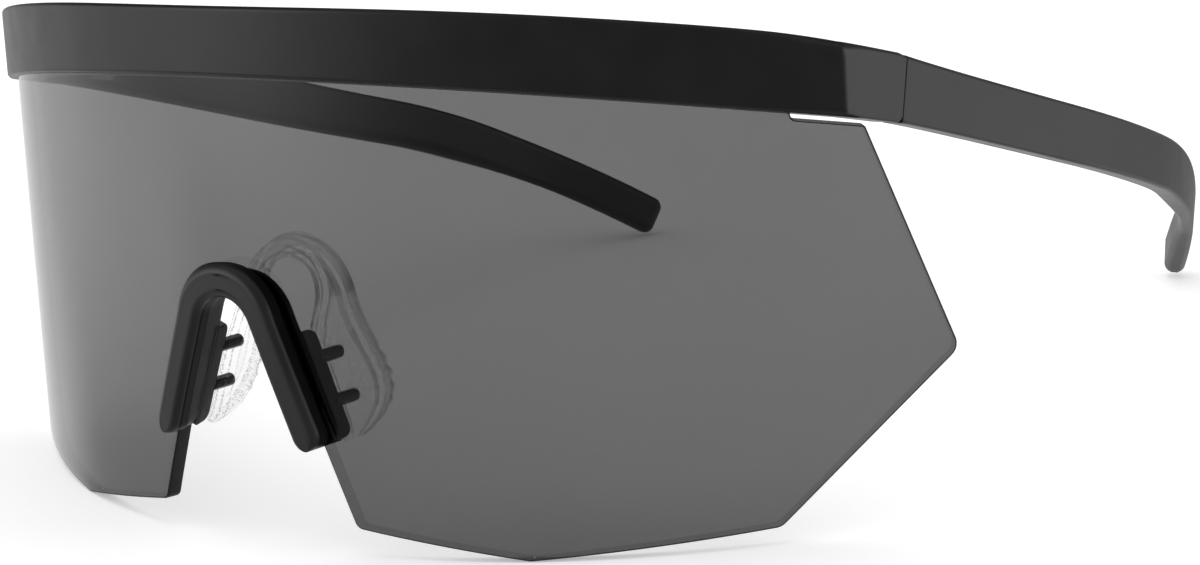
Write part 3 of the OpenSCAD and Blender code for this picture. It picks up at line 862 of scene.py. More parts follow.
@dataclass
class BrowBar:
    """The matte black front bar with its two endpieces.

    The height is a fourth-order curve in the square of run over height_run, with height_terms as
    its numbers. The steps say how many stations the arc, the wing, the corner and the endpiece
    have; the endpiece counts as straight from settle_steps past the start of the corner.
    """

    plan: LensPlan
    pose: RestPose
    front: float = 1.35
    rear: float = 3.65
    corner_run: float = 75.5
    corner_x: float = 67.98
    corner_r: float = 1.0
    inner_corner_r: float = 0.8
    splay: float = 4.4
    endpiece_t: float = 4.0
    seam_y: float = 40.265
    seam_height: float = 7.78
    seam_step: float = 1.3
    heel_r: float = 0.9
    heel_share: float = 0.98
    end_fall: float = 0.32
    end_r: float = 0.12
    height_run: float = 60.0
    height_terms: tuple[float, ...] = (-0.95, 2.896, -3.668, 2.444, 8.055)
    section: RoundedBox = RoundedBox(steps=6, rows=(3, 3, 3, 3), support=0.35)
    edge_r: tuple[float, float, float, float] = (0.35, 0.55, 0.5, 0.4)
    corner_extra: tuple[float, float, float, float] = (0.4, 0.75, 0.3, 0.0)
    extra_from_x: float = 61.0
    extra_over_x: float = 6.0
    arc_steps: int = 78
    wing_steps: int = 14
    bend_steps: int = 10
    end_steps: int = 40
    settle_steps: int = 8
    round_steps: int = 5

    def height(self, run: Array) -> Array:
        """Height of the bar along its run."""
        return np.polyval(self.height_terms, (np.abs(run) / self.height_run) ** 2)

    def edge_line(self, depth: float, corner_run: float, radius: float, face_x: float) -> Array:
        """One edge of the bar's underside on one side, from the centre line to the seam.

        It follows the bent sheet at a depth, turns the corner, and goes straight to the seam along
        the endpiece, which splays out.

        Args:
            depth: distance behind the front of the lens, negative in front of it.
            corner_run: length along the front of the lens to the corner.
            radius: radius of the corner.
            face_x: X of the endpiece's face at the corner.

        Returns:
            The points (n, 2) in X and Y.
        """
        shrink = math.cos(math.radians(self.plan.lean))
        x, back = self.plan.plan(np.array([self.plan.arc_end, corner_run]), depth)
        y = back / shrink
        seam_x = face_x + (self.seam_y - y[1]) * math.tan(math.radians(self.splay))
        corners = np.array([[x[0], y[0]], [x[1], y[1]], [seam_x, self.seam_y]])
        bent = rounded_path(corners, [radius], [self.wing_steps, self.end_steps], self.bend_steps)
        run = np.linspace(0, self.plan.arc_end, self.arc_steps, endpoint=False)
        x, back = self.plan.plan(run, depth)
        return np.concatenate([np.stack([x, back / shrink], 1), bent])

    def half_lines(self) -> tuple[Array, Array, Array, Array]:
        """The outer and inner edges of the bar's underside on one side, point by point.

        Returns:
            Outer points (n, 2), inner points (n, 2), height (n,) and how far each station leans.
        """
        arc_end = self.plan.arc_end
        outer = self.edge_line(-self.front, self.corner_run, self.corner_r, self.corner_x)
        bend_at = self.arc_steps + self.wing_steps
        inner_x = self.corner_x - self.endpiece_t
        arc_x = self.plan.plan(np.array([arc_end]), self.rear)[0][0]
        inner_run = arc_end + (inner_x - arc_x) / math.cos(self.plan.wing)
        inner_back = self.plan.plan(np.array([inner_run]), self.rear)[1][0]
        y_gap = inner_back / math.cos(math.radians(self.plan.lean)) - outer[bend_at, 1]
        splayed_x = inner_x + y_gap * math.tan(math.radians(self.splay))
        inner = self.edge_line(self.rear, inner_run, self.inner_corner_r, splayed_x)
        run = np.concatenate(
            [
                np.linspace(0, arc_end, self.arc_steps, endpoint=False),
                np.linspace(arc_end, self.corner_run, self.wing_steps, endpoint=False),
                np.full(len(outer) - bend_at, self.corner_run),
            ]
        )
        straight_y = outer[bend_at + self.settle_steps, 1]
        along_end = np.clip((outer[:, 1] - straight_y) / (self.seam_y - straight_y), 0, 1)
        top = self.height(run) - self.end_fall * along_end
        stepped = smooth_step(1 - (self.seam_y - outer[:, 1]) / self.seam_step)
        return outer, inner, top + (self.seam_height - top) * stepped, 1 - along_end

    def rings(self) -> Array:
        """Cross-sections from one seam to the other.

        Each is a rounded box between the outer and the inner edge. It leans back with the lens,
        which fades out along the endpiece, and it draws in to a round edge at the seam.

        Returns:
            The rings (n, m, 3) in the drawing frame.
        """
        outer, inner, height, leans = self.half_lines()
        turn = np.linspace(0, math.pi / 2, self.round_steps)
        last = len(outer) - 1
        draw = np.concatenate([np.zeros(last), self.end_r * (1 - np.cos(turn))])
        step = np.concatenate([np.zeros(last), self.end_r * (np.sin(turn) - 1)])
        pick = np.concatenate([np.arange(last), np.full(self.round_steps, last)])
        height, leans = height[pick], leans[pick]
        shift = np.stack([np.zeros_like(step), step], 1)
        outer, inner = outer[pick] + shift, inner[pick] + shift
        across = inner - outer
        width = np.linalg.norm(across, axis=1)
        softer = smooth_step((outer[:, 0] - self.extra_from_x) / self.extra_over_x) * leans**4
        radii = np.array(self.edge_r) + softer[:, None] * np.array(self.corner_extra)
        a, b = self.section.sections(width, height, radii)
        a = draw[:, None] + a * (1 - 2 * draw / width)[:, None]
        b = draw[:, None] + b * (1 - 2 * draw / height)[:, None]
        unit = across / width[:, None]
        x = outer[:, :1] + unit[:, :1] * a
        heel = np.clip(1 - (self.seam_y - outer[:, 1]) / self.heel_r, 0, 1)
        heel = self.heel_r * (1 - np.sqrt(1 - self.heel_share * heel**2))
        b = heel[:, None] + b * (1 - heel / height)[:, None]
        y = outer[:, 1:] + unit[:, 1:] * a - leans[:, None] * b * math.tan(math.radians(self.plan.lean))
        half = np.stack([x, y, b], -1)
        return np.concatenate([half[:0:-1] * np.array([-1, 1, 1]), half])

    def build(self, finish: bpy.types.Material) -> bpy.types.Object:
        """Makes the bar, dressed and riding on the front.

        Args:
            finish: the plastic.

        Returns:
            The bar.
        """
        bar = make_object("brow_bar_skin", skin(self.rings()), self.pose)
        bar.data.materials.append(finish)
        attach(bar, "front")
        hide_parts("brow_bar")
        return bar


@dataclass
class Temple:
    """One slim arm, straight behind the seam, then bowed inwards and dropped.

    It thins evenly, has a neck round neck_run, and from late_run on it gets slimmer, lower and
    rounder. Just behind the seam it is higher by the flare, which dies away over flare_run.
    """

    side: Side
    pose: RestPose
    seam_x: float = 68.82
    seam_y: float = 40.298
    half_seam: float = 0.02
    middle: float = 3.9
    length: float = 118.1
    end_drop: float = 1.7
    end_corner: float = 0.55
    end_turn: float = 87.0
    splay: float = 0.04803
    bow: float = 0.0041667
    bow_start: float = 39.6
    fall: float = 0.06467
    drop: float = 0.0039683
    drop_start: float = 68.7
    thick: float = 4.0
    thick_taper: float = 0.4
    neck_thin: float = 1.2
    neck_run: float = 97.0
    neck_spread: float = 10.0
    high: float = 7.29
    high_taper: float = 0.0036
    flare: float = 0.53
    flare_run: float = 8.0
    late_run: float = 80.0
    late_over: float = 24.0
    late_thin: float = 0.5
    late_low: float = 0.75
    late_rise: float = 0.35
    square_over: float = 7.0
    section: RoundedBox = RoundedBox(steps=6, rows=(3, 2, 3, 2), support=0.04)
    edge_r: tuple[float, float, float, float] = (0.5, 0.6, 0.75, 1.7)
    late_r: tuple[float, float, float, float] = (0.9, 0.4, 0.4, 0.2)
    most_r_share: float = 0.46
    start_r: float = 0.12
    start_steps: int = 5
    body_steps: int = 110
    end_steps: int = 12

    def course(self, run: Array) -> tuple[Array, Array, Array, Array]:
        """The outer face's middle line: X leans out, then bows in; Z falls, then drops faster.

        Args:
            run: distance behind the seam.

        Returns:
            X, Z and the slopes of both.
        """
        bowed = np.clip(run - self.bow_start, 0, None)
        dropped = np.clip(run - self.drop_start, 0, None)
        x = self.seam_x + self.splay * run - self.bow * bowed**2
        z = self.middle - self.fall * run - self.drop * dropped**2
        return x, z, self.splay - 2 * self.bow * bowed, -self.fall - 2 * self.drop * dropped

    def rings(self) -> Array:
        """Cross-sections from the seam to the tip.

        They stand square to the course, apart from the first few millimetres, where they turn
        from the plane of the seam. The last ones shrink as the cosine while they go on as the
        sine, so the tip is round.

        Returns:
            The rings (n, m, 3) on the wearer's left.
        """
        turn = np.linspace(0, math.pi / 2, self.start_steps)[::-1]
        tip = np.linspace(0, math.radians(self.end_turn), self.end_steps)[1:]
        body_end = self.length - self.end_drop
        body = np.linspace(self.half_seam + self.start_r, body_end, self.body_steps)[1:]
        start = self.half_seam + self.start_r * (1 - np.sin(turn))
        run = np.concatenate([start, body, np.full(len(tip), body_end)])
        whole = self.start_steps + len(body)
        ahead = np.concatenate([np.zeros(whole), self.end_drop * np.sin(tip)])
        draw = np.concatenate([self.start_r * (1 - np.cos(turn)), np.zeros(len(body) + len(tip))])
        scale = np.concatenate([np.ones(whole), np.cos(tip)])
        tall = 1 - self.end_corner * (1 - scale)
        x, z, slope_x, slope_z = self.course(run)
        along = np.stack([slope_x, np.ones_like(run), slope_z], -1)
        along /= np.linalg.norm(along, axis=1)[:, None]
        inward = np.stack([-np.ones_like(run), slope_x, np.zeros_like(run)], -1)
        inward /= np.linalg.norm(inward, axis=1)[:, None]
        up = np.cross(along, inward)
        up *= np.sign(up[:, 2:])
        late = smooth_step((run - self.late_run) / self.late_over)
        neck = np.exp(-(((run - self.neck_run) / self.neck_spread) ** 2))
        thick = self.thick - self.thick_taper * run / self.length
        thick = thick - self.late_thin * late - self.neck_thin * neck
        high = self.high - self.high_taper * run + self.flare * np.exp(-run / self.flare_run)
        high = high - self.late_low * late
        radii = np.array(self.edge_r) + late[:, None] * np.array(self.late_r)
        radii = np.minimum(radii, self.most_r_share * (thick * scale)[:, None])
        a, b = self.section.sections(thick * scale, high * tall, radii)
        a += (thick * (1 - scale) / 2)[:, None]
        b += (self.late_rise * late - high * tall / 2)[:, None]
        a = draw[:, None] + a * (1 - 2 * draw / thick)[:, None]
        b = b * (1 - 2 * draw / high)[:, None]
        square = smooth_step((run - self.half_seam) / self.square_over)
        lift = inward[:, None, :] * a[..., None] + up[:, None, :] * b[..., None]
        lift[..., 1] *= square[:, None]
        middle = np.stack([x, self.seam_y + run, z], -1) + along * ahead[:, None]
        return middle[:, None, :] + lift

    def build(self, finish: bpy.types.Material) -> bpy.types.Object:
        """Makes the temple, dressed and riding on its own arm.

        Args:
            finish: the plastic.

        Returns:
            The temple.
        """
        rings = self.rings() * np.array([self.side.value, 1, 1])
        arm = make_object(f"{self.side.temple}_skin", skin(rings), self.pose)
        arm.data.materials.append(finish)
        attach(arm, self.side.body)
        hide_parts(self.side.temple)
        return arm


@dataclass
class ShieldLens:
    """The single wrapped lens: a two-millimetre sheet cut to straight edges, with a nose notch.

    The lower edge of one half goes down the notch to the foot, out over two low corners and up to
    the outer corner. The upper edge is a tongue in the brow bar's groove, which steps down to the
    wing. The steps say how many points the stretches between the corners have.
    """

    plan: LensPlan
    pose: RestPose
    path: NotchPath
    thickness: float = 2.0
    foot: tuple[float, float] = (15.52, -53.08)
    low_point: tuple[float, float] = (36.1, -56.15)
    low_corner: tuple[float, float] = (60.3, -53.18)
    outer_corner: tuple[float, float] = (76.15, -33.65)
    corner_r: tuple[float, ...] = (1.3, 1.6, 2.0, 1.9)
    wing_top_x: float = 68.75
    wing_step: float = -0.75
    tongue_x: float = 62.5
    tongue_top: float = 3.0
    tongue_lead: float = 2.0
    tongue_r: tuple[float, ...] = (0.4, 0.7, 0.5)
    edge_r: float = 0.2
    arch_steps: int = 34
    low_steps: tuple[int, ...] = (30, 26, 28, 30, 30)
    corner_steps: int = 8
    tongue_steps: tuple[int, ...] = (2, 6, 12, 8)
    tongue_corner_steps: int = 6
    side_from: int = 7
    rule_steps: int = 42

    def cut_point(self, x: float, up: float) -> list[float]:
        """A corner of the cut by its X and its way up, as run and way up."""
        return [float(self.plan.run_at(np.array(x))), up]

    def top_point(self, x: float, height: float) -> list[float]:
        """A corner of the upper edge by its X and its height, as run and way up."""
        run = float(self.plan.run_at(np.array(x)))
        return [run, float(self.plan.up_at(np.array(run), height))]

    def half_outline(self) -> tuple[Array, Array]:
        """The cut of one half, in run along the front face and way up.

        Returns:
            The lower edge, from the top of the notch round to the outer corner, and the upper
            edge, from the centre line out to the same corner, with as many points.
        """
        radius, centre, slant = self.path.radius, self.path.centre, math.radians(self.path.slant)
        turn = np.linspace(0, math.pi / 2 - slant, self.arch_steps, endpoint=False)
        arch = np.stack([radius * np.sin(turn), centre + radius * np.cos(turn)], 1)
        leg_top = [radius * math.cos(slant), centre + radius * math.sin(slant)]
        marks = (self.foot, self.low_point, self.low_corner, self.outer_corner)
        wing_top = self.top_point(self.wing_top_x, self.wing_step)
        corners = np.array([leg_top, *(self.cut_point(*mark) for mark in marks), wing_top])
        low = rounded_path(corners, list(self.corner_r), list(self.low_steps), self.corner_steps)
        lower = np.concatenate([arch, low])
        whole_corners = (len(marks) - 1) * self.corner_steps
        half_corner = self.arch_steps + sum(self.low_steps[:-1]) + whole_corners + self.corner_steps // 2
        lower, rest = lower[: half_corner + 1], lower[half_corner:][::-1]
        step_top = self.top_point(self.tongue_x, self.tongue_top)
        step_low = self.top_point(self.tongue_x, self.wing_step)
        tongue_end = step_top[0] - self.tongue_lead
        side_high, side = rest[self.side_from - 1], rest[self.side_from :]
        upper_end = rounded_path(
            np.array([[tongue_end, step_top[1]], step_top, step_low, wing_top, side_high]),
            list(self.tongue_r),
            list(self.tongue_steps),
            self.tongue_corner_steps,
        )[1:]
        run = np.linspace(0, tongue_end, len(lower) - len(upper_end) - len(side))
        tongue = np.stack([run, self.plan.up_at(run, self.tongue_top)], 1)
        return lower, np.concatenate([tongue, upper_end, side])

    def inset(self, lower: Array, upper: Array, distance: float) -> tuple[Array, Array]:
        """Both edges moved in from the cut by a distance.

        The move is square to the chord between the neighbours of each point. On the centre line
        it is straight up or down.

        Args:
            lower: the lower edge.
            upper: the upper edge, which ends at the same point.
            distance: how far in.

        Returns:
            The two moved edges.
        """
        loop = np.concatenate([lower, upper[:-1][::-1]])
        chord = np.gradient(loop, axis=0)
        chord[0], chord[-1] = (1, 0), (-1, 0)
        chord /= np.linalg.norm(chord, axis=1)[:, None]
        moved = loop + np.stack([-chord[:, 1], chord[:, 0]], 1) * distance
        n = len(lower)
        return moved[:n], moved[n - 1 :][::-1]

    def lifted(self, points: Array, depth: float) -> Array:
        """Points of the drawing frame from run and way up, at a depth behind the front face."""
        x, back = self.plan.plan(points[..., 0], depth)
        return self.plan.leaned(x, back, points[..., 1])

    def sheet(self) -> tuple[Faces, Faces]:
        """The two faces and the cut edge of one half.

        A face is ruled: each of its lines joins a point of the lower edge to the matching point
        of the upper one. The cut edge is a strip of rings with a rounded corner at both faces.

        Returns:
            The faces, and the cut edge.
        """
        lower, upper = self.half_outline()
        low_in, high_in = self.inset(lower, upper, self.edge_r)
        share = np.linspace(0, 1, self.rule_steps)[None, :, None]
        flat = low_in[:, None, :] * (1 - share) + high_in[:, None, :] * share
        quads = grid_faces(*flat.shape[:2])[:, [0, 3, 2, 1]]
        none = np.zeros((0, 3), int)
        front = (self.lifted(flat, 0.0).reshape(-1, 3), quads, none)
        behind = (self.lifted(flat, self.thickness).reshape(-1, 3), quads[:, ::-1], none)
        rings = []
        for depth, distance in zip(*eased_edges(0.0, self.thickness, self.edge_r)):
            a, b = self.inset(lower, upper, float(distance))
            rings.append(self.lifted(np.concatenate([a, b[:-1][::-1]]), float(depth)))
        strip = np.stack(rings, 1)
        wall = grid_faces(*strip.shape[:2])
        return joined([front, behind]), (strip.reshape(-1, 3), wall, none)

    def build(self, sheet: bpy.types.Material, rim: bpy.types.Material) -> bpy.types.Object:
        """Makes the lens, its faces see-through and its cut edge dark, riding on the front.

        Args:
            sheet: the see-through finish.
            rim: the finish of the cut edge.

        Returns:
            The lens.
        """
        faces, edge = self.sheet()
        whole = joined([faces, mirrored(faces), edge, mirrored(edge)])
        lens = make_object("shield_lens_sheet", whole, self.pose, sharp=50)
        lens.data.materials.append(sheet)
        lens.data.materials.append(rim)
        on_rim = np.arange(len(lens.data.polygons)) >= 2 * len(faces[1])
        lens.data.polygons.foreach_set("material_index", on_rim.astype(int))
        weld(lens.data)
        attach(lens, "front")
        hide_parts("shield_lens")
        return lens


@dataclass
class NoseClip:
    """The black moulding on the notch: a soft front lip, the body that grips the lens with its
    rear lip, and on each side a flange with two pegs for the pad.

    lip, body and flange are each low and high distances out from the notch, then the depths of
    their front and rear. grip is the distance out of the groove's floor and the depths of its two
    sides. The steps say how many stations the arch, a leg and its round end have.
    """

    plan: LensPlan
    pose: RestPose
    path: NotchPath
    end_drop: float = 43.4
    end_r: float = 1.9
    end_turn: float = 84.0
    arch_swell: float = 0.3
    swell_reach: float = 1.2
    lip: tuple[float, float, float, float] = (-1.85, 1.8, -2.9, -0.3)
    lip_section: RoundedBox = RoundedBox(steps=7, rows=(2, 3, 2, 3), support=0.25)
    lip_r: tuple[float, float] = (0.95, 0.28)
    lip_narrow: float = 0.1
    narrow_from: float = -1.9
    narrow_over: float = 0.9
    body: tuple[float, float, float, float] = (-1.75, 1.1, -0.9, 3.1)
    body_corner_r: tuple[float, ...] = (0.25, 0.15, 0.05, 0.05, 0.15, 0.4, 0.3, 0.3)
    body_middle: float = 0.05
    grip: tuple[float, float, float] = (-0.1, -0.03, 2.02)
    rear_reach: float = 0.55
    tilt: float = 0.246
    flange: tuple[float, float, float, float] = (-1.05, 0.4, 2.6, 5.3)
    flange_drops: tuple[float, float] = (30.6, 43.2)
    flange_corner_r: float = 1.2
    flange_edge_r: float = 0.25
    peg_drops: tuple[float, float] = (33.9, 39.0)
    peg_r: float = 0.8
    peg_edge_r: float = 0.3
    peg_span: tuple[float, float] = (4.6, 8.8)
    peg_offset: float = 0.15
    wall_from: float = 0.8
    wall_depth: float = -1.95
    inner_depth: float = -1.9
    nose_facing: float = -0.8
    arch_steps: int = 30
    leg_steps: int = 26
    end_steps: int = 10
    corner_steps: int = 4
    flange_steps: tuple[int, int, int] = (8, 14, 8)
    rim_steps: int = 8
    peg_steps: int = 28
    peg_tip_steps: int = 6

    def stations(self) -> tuple[Array, Array]:
        """Runs from one leg's end to the other, and how wide each station is as a share.

        At the ends the share falls as the cosine while the run goes on as the sine.

        Returns:
            The runs and the shares.
        """
        arc, straight_end = self.path.arc, self.path.run_to(self.end_drop) - self.end_r
        turn = np.linspace(0, math.radians(self.end_turn), self.end_steps)
        arch = np.linspace(0, arc, self.arch_steps, endpoint=False)
        leg = np.linspace(arc, straight_end, self.leg_steps, endpoint=False)
        half = np.concatenate([arch, leg, straight_end + self.end_r * np.sin(turn)])
        share = np.concatenate([np.ones(len(arch) + len(leg)), np.cos(turn)])
        return np.concatenate([-half[:0:-1], half]), np.concatenate([share[:0:-1], share])

    def swept(self, loop: Array, middle: float) -> Array:
        """Carries a closed loop along the notch, following the bend of the lens.

        The half of the loop that lies on the lens swells over the arch.

        Args:
            loop: distance out and depth behind the front of the lens (m, 2).
            middle: the distance out to which the loop shrinks at the ends.

        Returns:
            The rings (n, m, 3).
        """
        run, share = self.stations()
        swell = 1 + self.arch_swell * smooth_step(self.swell_reach - np.abs(run) / self.path.arc)
        across = loop[None, :, 0] * np.where(loop[None, :, 0] > 0, swell[:, None], 1)
        offset = middle + (across - middle) * share[:, None]
        x, up = self.path.at(run[:, None], offset)
        back = self.plan.sag(x, loop[None, :, 1])
        return self.plan.leaned(x, back, up)

    def lip_loop(self) -> Array:
        """The front lip's section: a box, well rounded in front, and narrower behind.

        Returns:
            Distance out and depth of its points (m, 2).
        """
        low, high, front, rear = self.lip
        round_r, small_r = self.lip_r
        radii = np.array([[round_r, small_r, small_r, round_r]])
        size = np.array([high - low]), np.array([rear - front])
        a, b = self.lip_section.sections(*size, radii)
        offset, depth = high - a[0], front + b[0]
        narrow = 1 - self.lip_narrow * smooth_step((depth - self.narrow_from) / self.narrow_over)
        return np.stack([np.where(offset > 0, offset * narrow, offset), depth], 1)

    def body_loop(self) -> Array:
        """The body's section: a C that holds the edge of the lens between its two lips.

        Returns:
            Distance out and depth of its points (m, 2).
        """
        low, high, front, rear = self.body
        wall, near, far = self.grip
        middle = [0.5 * (low + high), front]
        corners = [
            middle,
            [high, front],
            [high, near],
            [wall, near],
            [wall, far],
            [self.rear_reach, far],
            [self.rear_reach, rear],
            [low + self.tilt * (rear - front), rear],
            [low, front],
            middle,
        ]
        counts = [self.corner_steps] * (len(corners) - 1)
        return rounded_path(np.array(corners), list(self.body_corner_r), counts, self.corner_steps)[:-1]

    def flange_part(self) -> Faces:
        """The flat flange behind one leg, its rear corners rounded.

        Its outline is a rounded box in run and depth, and it has a rounded edge all round.

        Returns:
            The skin on the wearer's left.
        """
        low, high, front, rear = self.flange
        start, end = (self.path.run_to(drop) for drop in self.flange_drops)
        corners = np.array([[start, front], [start, rear], [end, rear], [end, front]])
        rim = rounded_path(corners, [self.flange_corner_r] * 2, list(self.flange_steps), self.rim_steps)
        across, ins = eased_edges(low, high, self.flange_edge_r)
        middle = np.array([0.5 * (start + end), 0.5 * (front + rear)])
        size = np.array([end - start, rear - front])
        loops = middle + (rim[None] - middle) * (1 - 2 * ins[:, None, None] / size)
        tilted = across[:, None] + self.tilt * (loops[..., 1] - self.body[3])
        x, up = self.path.at(loops[..., 0], tilted)
        return skin(self.plan.leaned(x, loops[..., 1], up))

    def peg_part(self, drop: float) -> Faces:
        """One round-ended peg that stands straight back from the flange.

        Args:
            drop: how far down the lens it stands.

        Returns:
            The skin on the wearer's left.
        """
        tip = np.linspace(0, math.pi / 2, self.peg_tip_steps)
        length = self.peg_span[1] - self.peg_span[0]
        ahead = np.concatenate([[0.0], length - self.peg_edge_r + self.peg_edge_r * np.sin(tip)])
        radius = np.concatenate([[self.peg_r], self.peg_r - self.peg_edge_r * (1 - np.cos(tip))])
        turn = np.linspace(0, 2 * math.pi, self.peg_steps, endpoint=False)
        run = self.path.run_to(drop) + radius[:, None] * np.sin(turn)
        x, up = self.path.at(run, self.peg_offset + radius[:, None] * np.cos(turn))
        depth = self.peg_span[0] + ahead[:, None] * np.ones(len(turn))
        return skin(self.plan.leaned(x, depth, up))

    def face_kinds(self, mesh: bpy.types.Mesh) -> Array:
        """Tells the kind of every face, by its ClipFace number.

        A face towards the nose, the wall of the lip that stands on the lens and the inner walls get
        painted shade, a darker copy of the plastic. The body's own wall on the lens gets painted shade
        darker still, and the other faces of the flange and pegs get painted light, a lighter grey copy.

        Args:
            mesh: the clip's mesh, whose faces are those of the lip, the body, then the rest.

        Returns:
            The numbers (n,).
        """
        count = len(mesh.polygons)
        centres, normals = np.zeros(3 * count), np.zeros(3 * count)
        mesh.polygons.foreach_get("center", centres)
        mesh.polygons.foreach_get("normal", normals)
        inwards = normals.reshape(-1, 3)[:, 0] * np.sign(centres.reshape(-1, 3)[:, 0])
        # Faces towards the nose get painted shade, the other faces of the flange and pegs painted light.
        kinds = np.where(inwards < self.nose_facing, ClipFace.SHADED.value, ClipFace.FLANGE.value)
        rings, base = len(self.stations()[0]) - 1, 0
        for wall_shade_kind, loop in ((ClipFace.SHADED, self.lip_loop()), (ClipFace.BODY_WALL, self.body_loop())):
            offset, depth = (0.5 * (loop + np.roll(loop, -1, axis=0))).T
            # The walls that stand on the lens and the inner walls get painted shade.
            wall = (offset > self.wall_from) & (depth > self.wall_depth) & (depth < 0)
            inner = (offset < 0) & (depth > self.inner_depth)
            around = np.select([wall, inner], [wall_shade_kind.value, ClipFace.SHADED.value], ClipFace.LIP.value)
            kinds[base : base + rings * len(loop)] = np.tile(around, rings)
            base += rings * len(loop)
        return kinds

    def build(self, finishes: list[bpy.types.Material]) -> bpy.types.Object:
        """Makes the clip, dressed and riding on the front.

        Args:
            finishes: the plastics of CLIP_PLASTICS, with their painted shade and painted light, in the
                order of the ClipFace numbers.

        Returns:
            The clip.
        """
        side = joined([self.flange_part(), *(self.peg_part(drop) for drop in self.peg_drops)])
        lip = skin(self.swept(self.lip_loop(), 0.0))
        body = skin(self.swept(self.body_loop(), self.body_middle))
        clip = make_object("nose_clip_skin", joined([lip, body, side, mirrored(side)]), self.pose, sharp=50)
        for finish in finishes:
            clip.data.materials.append(finish)
        clip.data.polygons.foreach_set("material_index", self.face_kinds(clip.data))
        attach(clip, "front")
        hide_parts("nose_clip")
        return clip


@dataclass
class NosePad:
    """The clear saddle: a round strap over the top that widens into a ribbed pad on each side.

    fronts and rears place both edges as shares of the depth, thicks and rises are shares of the
    thickness and of the rise over the top, all along the run from the top to the low end.
    """

    plan: LensPlan
    pose: RestPose
    path: NotchPath
    front: float = 5.5
    depth: float = 8.6
    low_drop: float = 43.6
    splay: float = 16.5
    rise: float = 1.7
    strap: float = 2.35
    strap_share: float = 0.5
    pad: float = 2.5
    least_span: float = 0.3
    section: RoundedBox = RoundedBox(steps=7, rows=(12, 5, 16, 3), support=0.05)
    most_r_share: float = 0.46
    edge_r_shares: tuple[float, float, float, float] = (0.75, 1.0, 1.0, 0.75)
    rib_depth: float = 0.22
    rib_pitch: float = 1.9
    rib_slant: float = 0.32
    rib_face_share: float = 0.45
    rib_edge_share: float = 1.3
    rib_start_share: float = 0.5
    rib_start_over: float = 0.12
    rib_end_over: float = 0.05
    rib_from_depth: float = 1.5
    rib_over_depth: float = 3.0
    inner_slope: float = 1.6
    inner_start: float = 0.4
    rear_slope: float = 5.0
    rear_start: float = 4.0
    rear_spread: float = 0.018
    thick_spread: float = 0.012
    end_share: float = 0.1
    end_turn: float = 1.5
    even_steps: int = 150
    end_steps: int = 30
    fronts: tuple = ((0, 0.49), (0.14, 0.45), (0.3, 0.33), (0.42, 0.13), (0.52, 0.01), (0.56, 0), (1, 0))
    rears: tuple = (
        (0, 0.77), (0.2, 0.79), (0.4, 0.84), (0.54, 0.92), (0.66, 0.985), (0.755, 1), (0.84, 0.95),
        (0.91, 0.78), (0.965, 0.54), (0.985, 0.4), (1, 0.24),
    )
    thicks: tuple = ((0, 1), (0.9, 1), (0.965, 0.86), (0.99, 0.6), (1, 0.4))
    rises: tuple = (
        (0, 1), (0.1, 0.93), (0.2, 0.72), (0.3, 0.42), (0.4, 0.16), (0.5, 0.03), (0.55, 0), (1, 0),
    )

    def rings(self) -> Array:
        """Cross-sections from one low end over the strap to the other.

        Each is a rounded box whose outer face slopes outwards with depth. The face on the nose's
        side and the rear edge carry ribs: half waves along a line that slopes down towards the
        rear, and fade out towards the front and the strap.

        Returns:
            The rings (n, m, 3).
        """
        end = self.path.run_to(self.low_drop)
        even = np.linspace(0, 1 - self.end_share, self.even_steps, endpoint=False)
        turn = np.linspace(0, self.end_turn, self.end_steps)
        share = np.concatenate([even, 1 - self.end_share + self.end_share * np.sin(turn)])
        fronts = eased_curve(share, self.fronts)
        rears = eased_curve(share, self.rears, self.rear_spread)
        thick = self.pad + (self.strap - self.pad) * (1 - smooth_step(share / self.strap_share))
        thick = thick * eased_curve(share, self.thicks, self.thick_spread)
        rises = self.rise * eased_curve(share, self.rises)
        span = np.clip(self.depth * (rears - fronts), self.least_span, None)
        most_r = self.most_r_share * np.minimum(thick, span)
        radii = most_r[:, None] * np.array([self.edge_r_shares])
        a, b = self.section.sections(thick, span, radii)
        share, thick, span, rises = share[:, None], thick[:, None], span[:, None], rises[:, None]
        depth = self.front + self.depth * fronts[:, None] + b
        run = share * end
        wave = np.sin(math.pi * (run - self.rib_slant * (depth - self.front)) / self.rib_pitch) ** 2
        fade = smooth_step((share - self.rib_start_share) / self.rib_start_over)
        fade = fade * smooth_step((1 - share) / self.rib_end_over)
        inner = smooth_step(a / thick * self.inner_slope - self.inner_start)
        inner = inner * smooth_step((depth - self.front - self.rib_from_depth) / self.rib_over_depth)
        dent = self.rib_depth * wave * fade
        a = a - self.rib_face_share * dent * inner
        rear = smooth_step(b / span * self.rear_slope - self.rear_start)
        depth = depth - self.rib_edge_share * dent * rear
        offset = (depth - self.front) * math.tan(math.radians(self.splay)) + rises - a
        x, up = self.path.at(run, offset)
        half = self.plan.leaned(x, depth, up)
        return np.concatenate([half[:0:-1] * np.array([-1, 1, 1]), half])

    def build(self, finish: bpy.types.Material) -> bpy.types.Object:
        """Makes the pad, dressed and riding on the front.

        Args:
            finish: the silicone.

        Returns:
            The pad.
        """
        pad = make_object("nose_pad_saddle", skin(self.rings()), self.pose, sharp=180)
        pad.data.materials.append(finish)
        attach(pad, "front")
        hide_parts("nose_pad")
        return pad


@dataclass
class Hinges:
    """The metal leaves and screws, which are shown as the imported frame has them."""

    nodes: dict
    prefixes: tuple[str, ...] = ("front_leaf", "temple_leaf", "hinge_screw")

    def dress(self, finish: bpy.types.Material) -> list[str]:
        """Gives every leaf and screw the steel.

        Args:
            finish: the steel.

        Returns:
            The names of the nodes that were dressed.
        """
        names = [name for name in self.nodes if name.startswith(self.prefixes)]
        for name in names:
            materials = self.nodes[name].data.materials
            materials.clear()
            materials.append(finish)
        return names


# Camera, floor and light


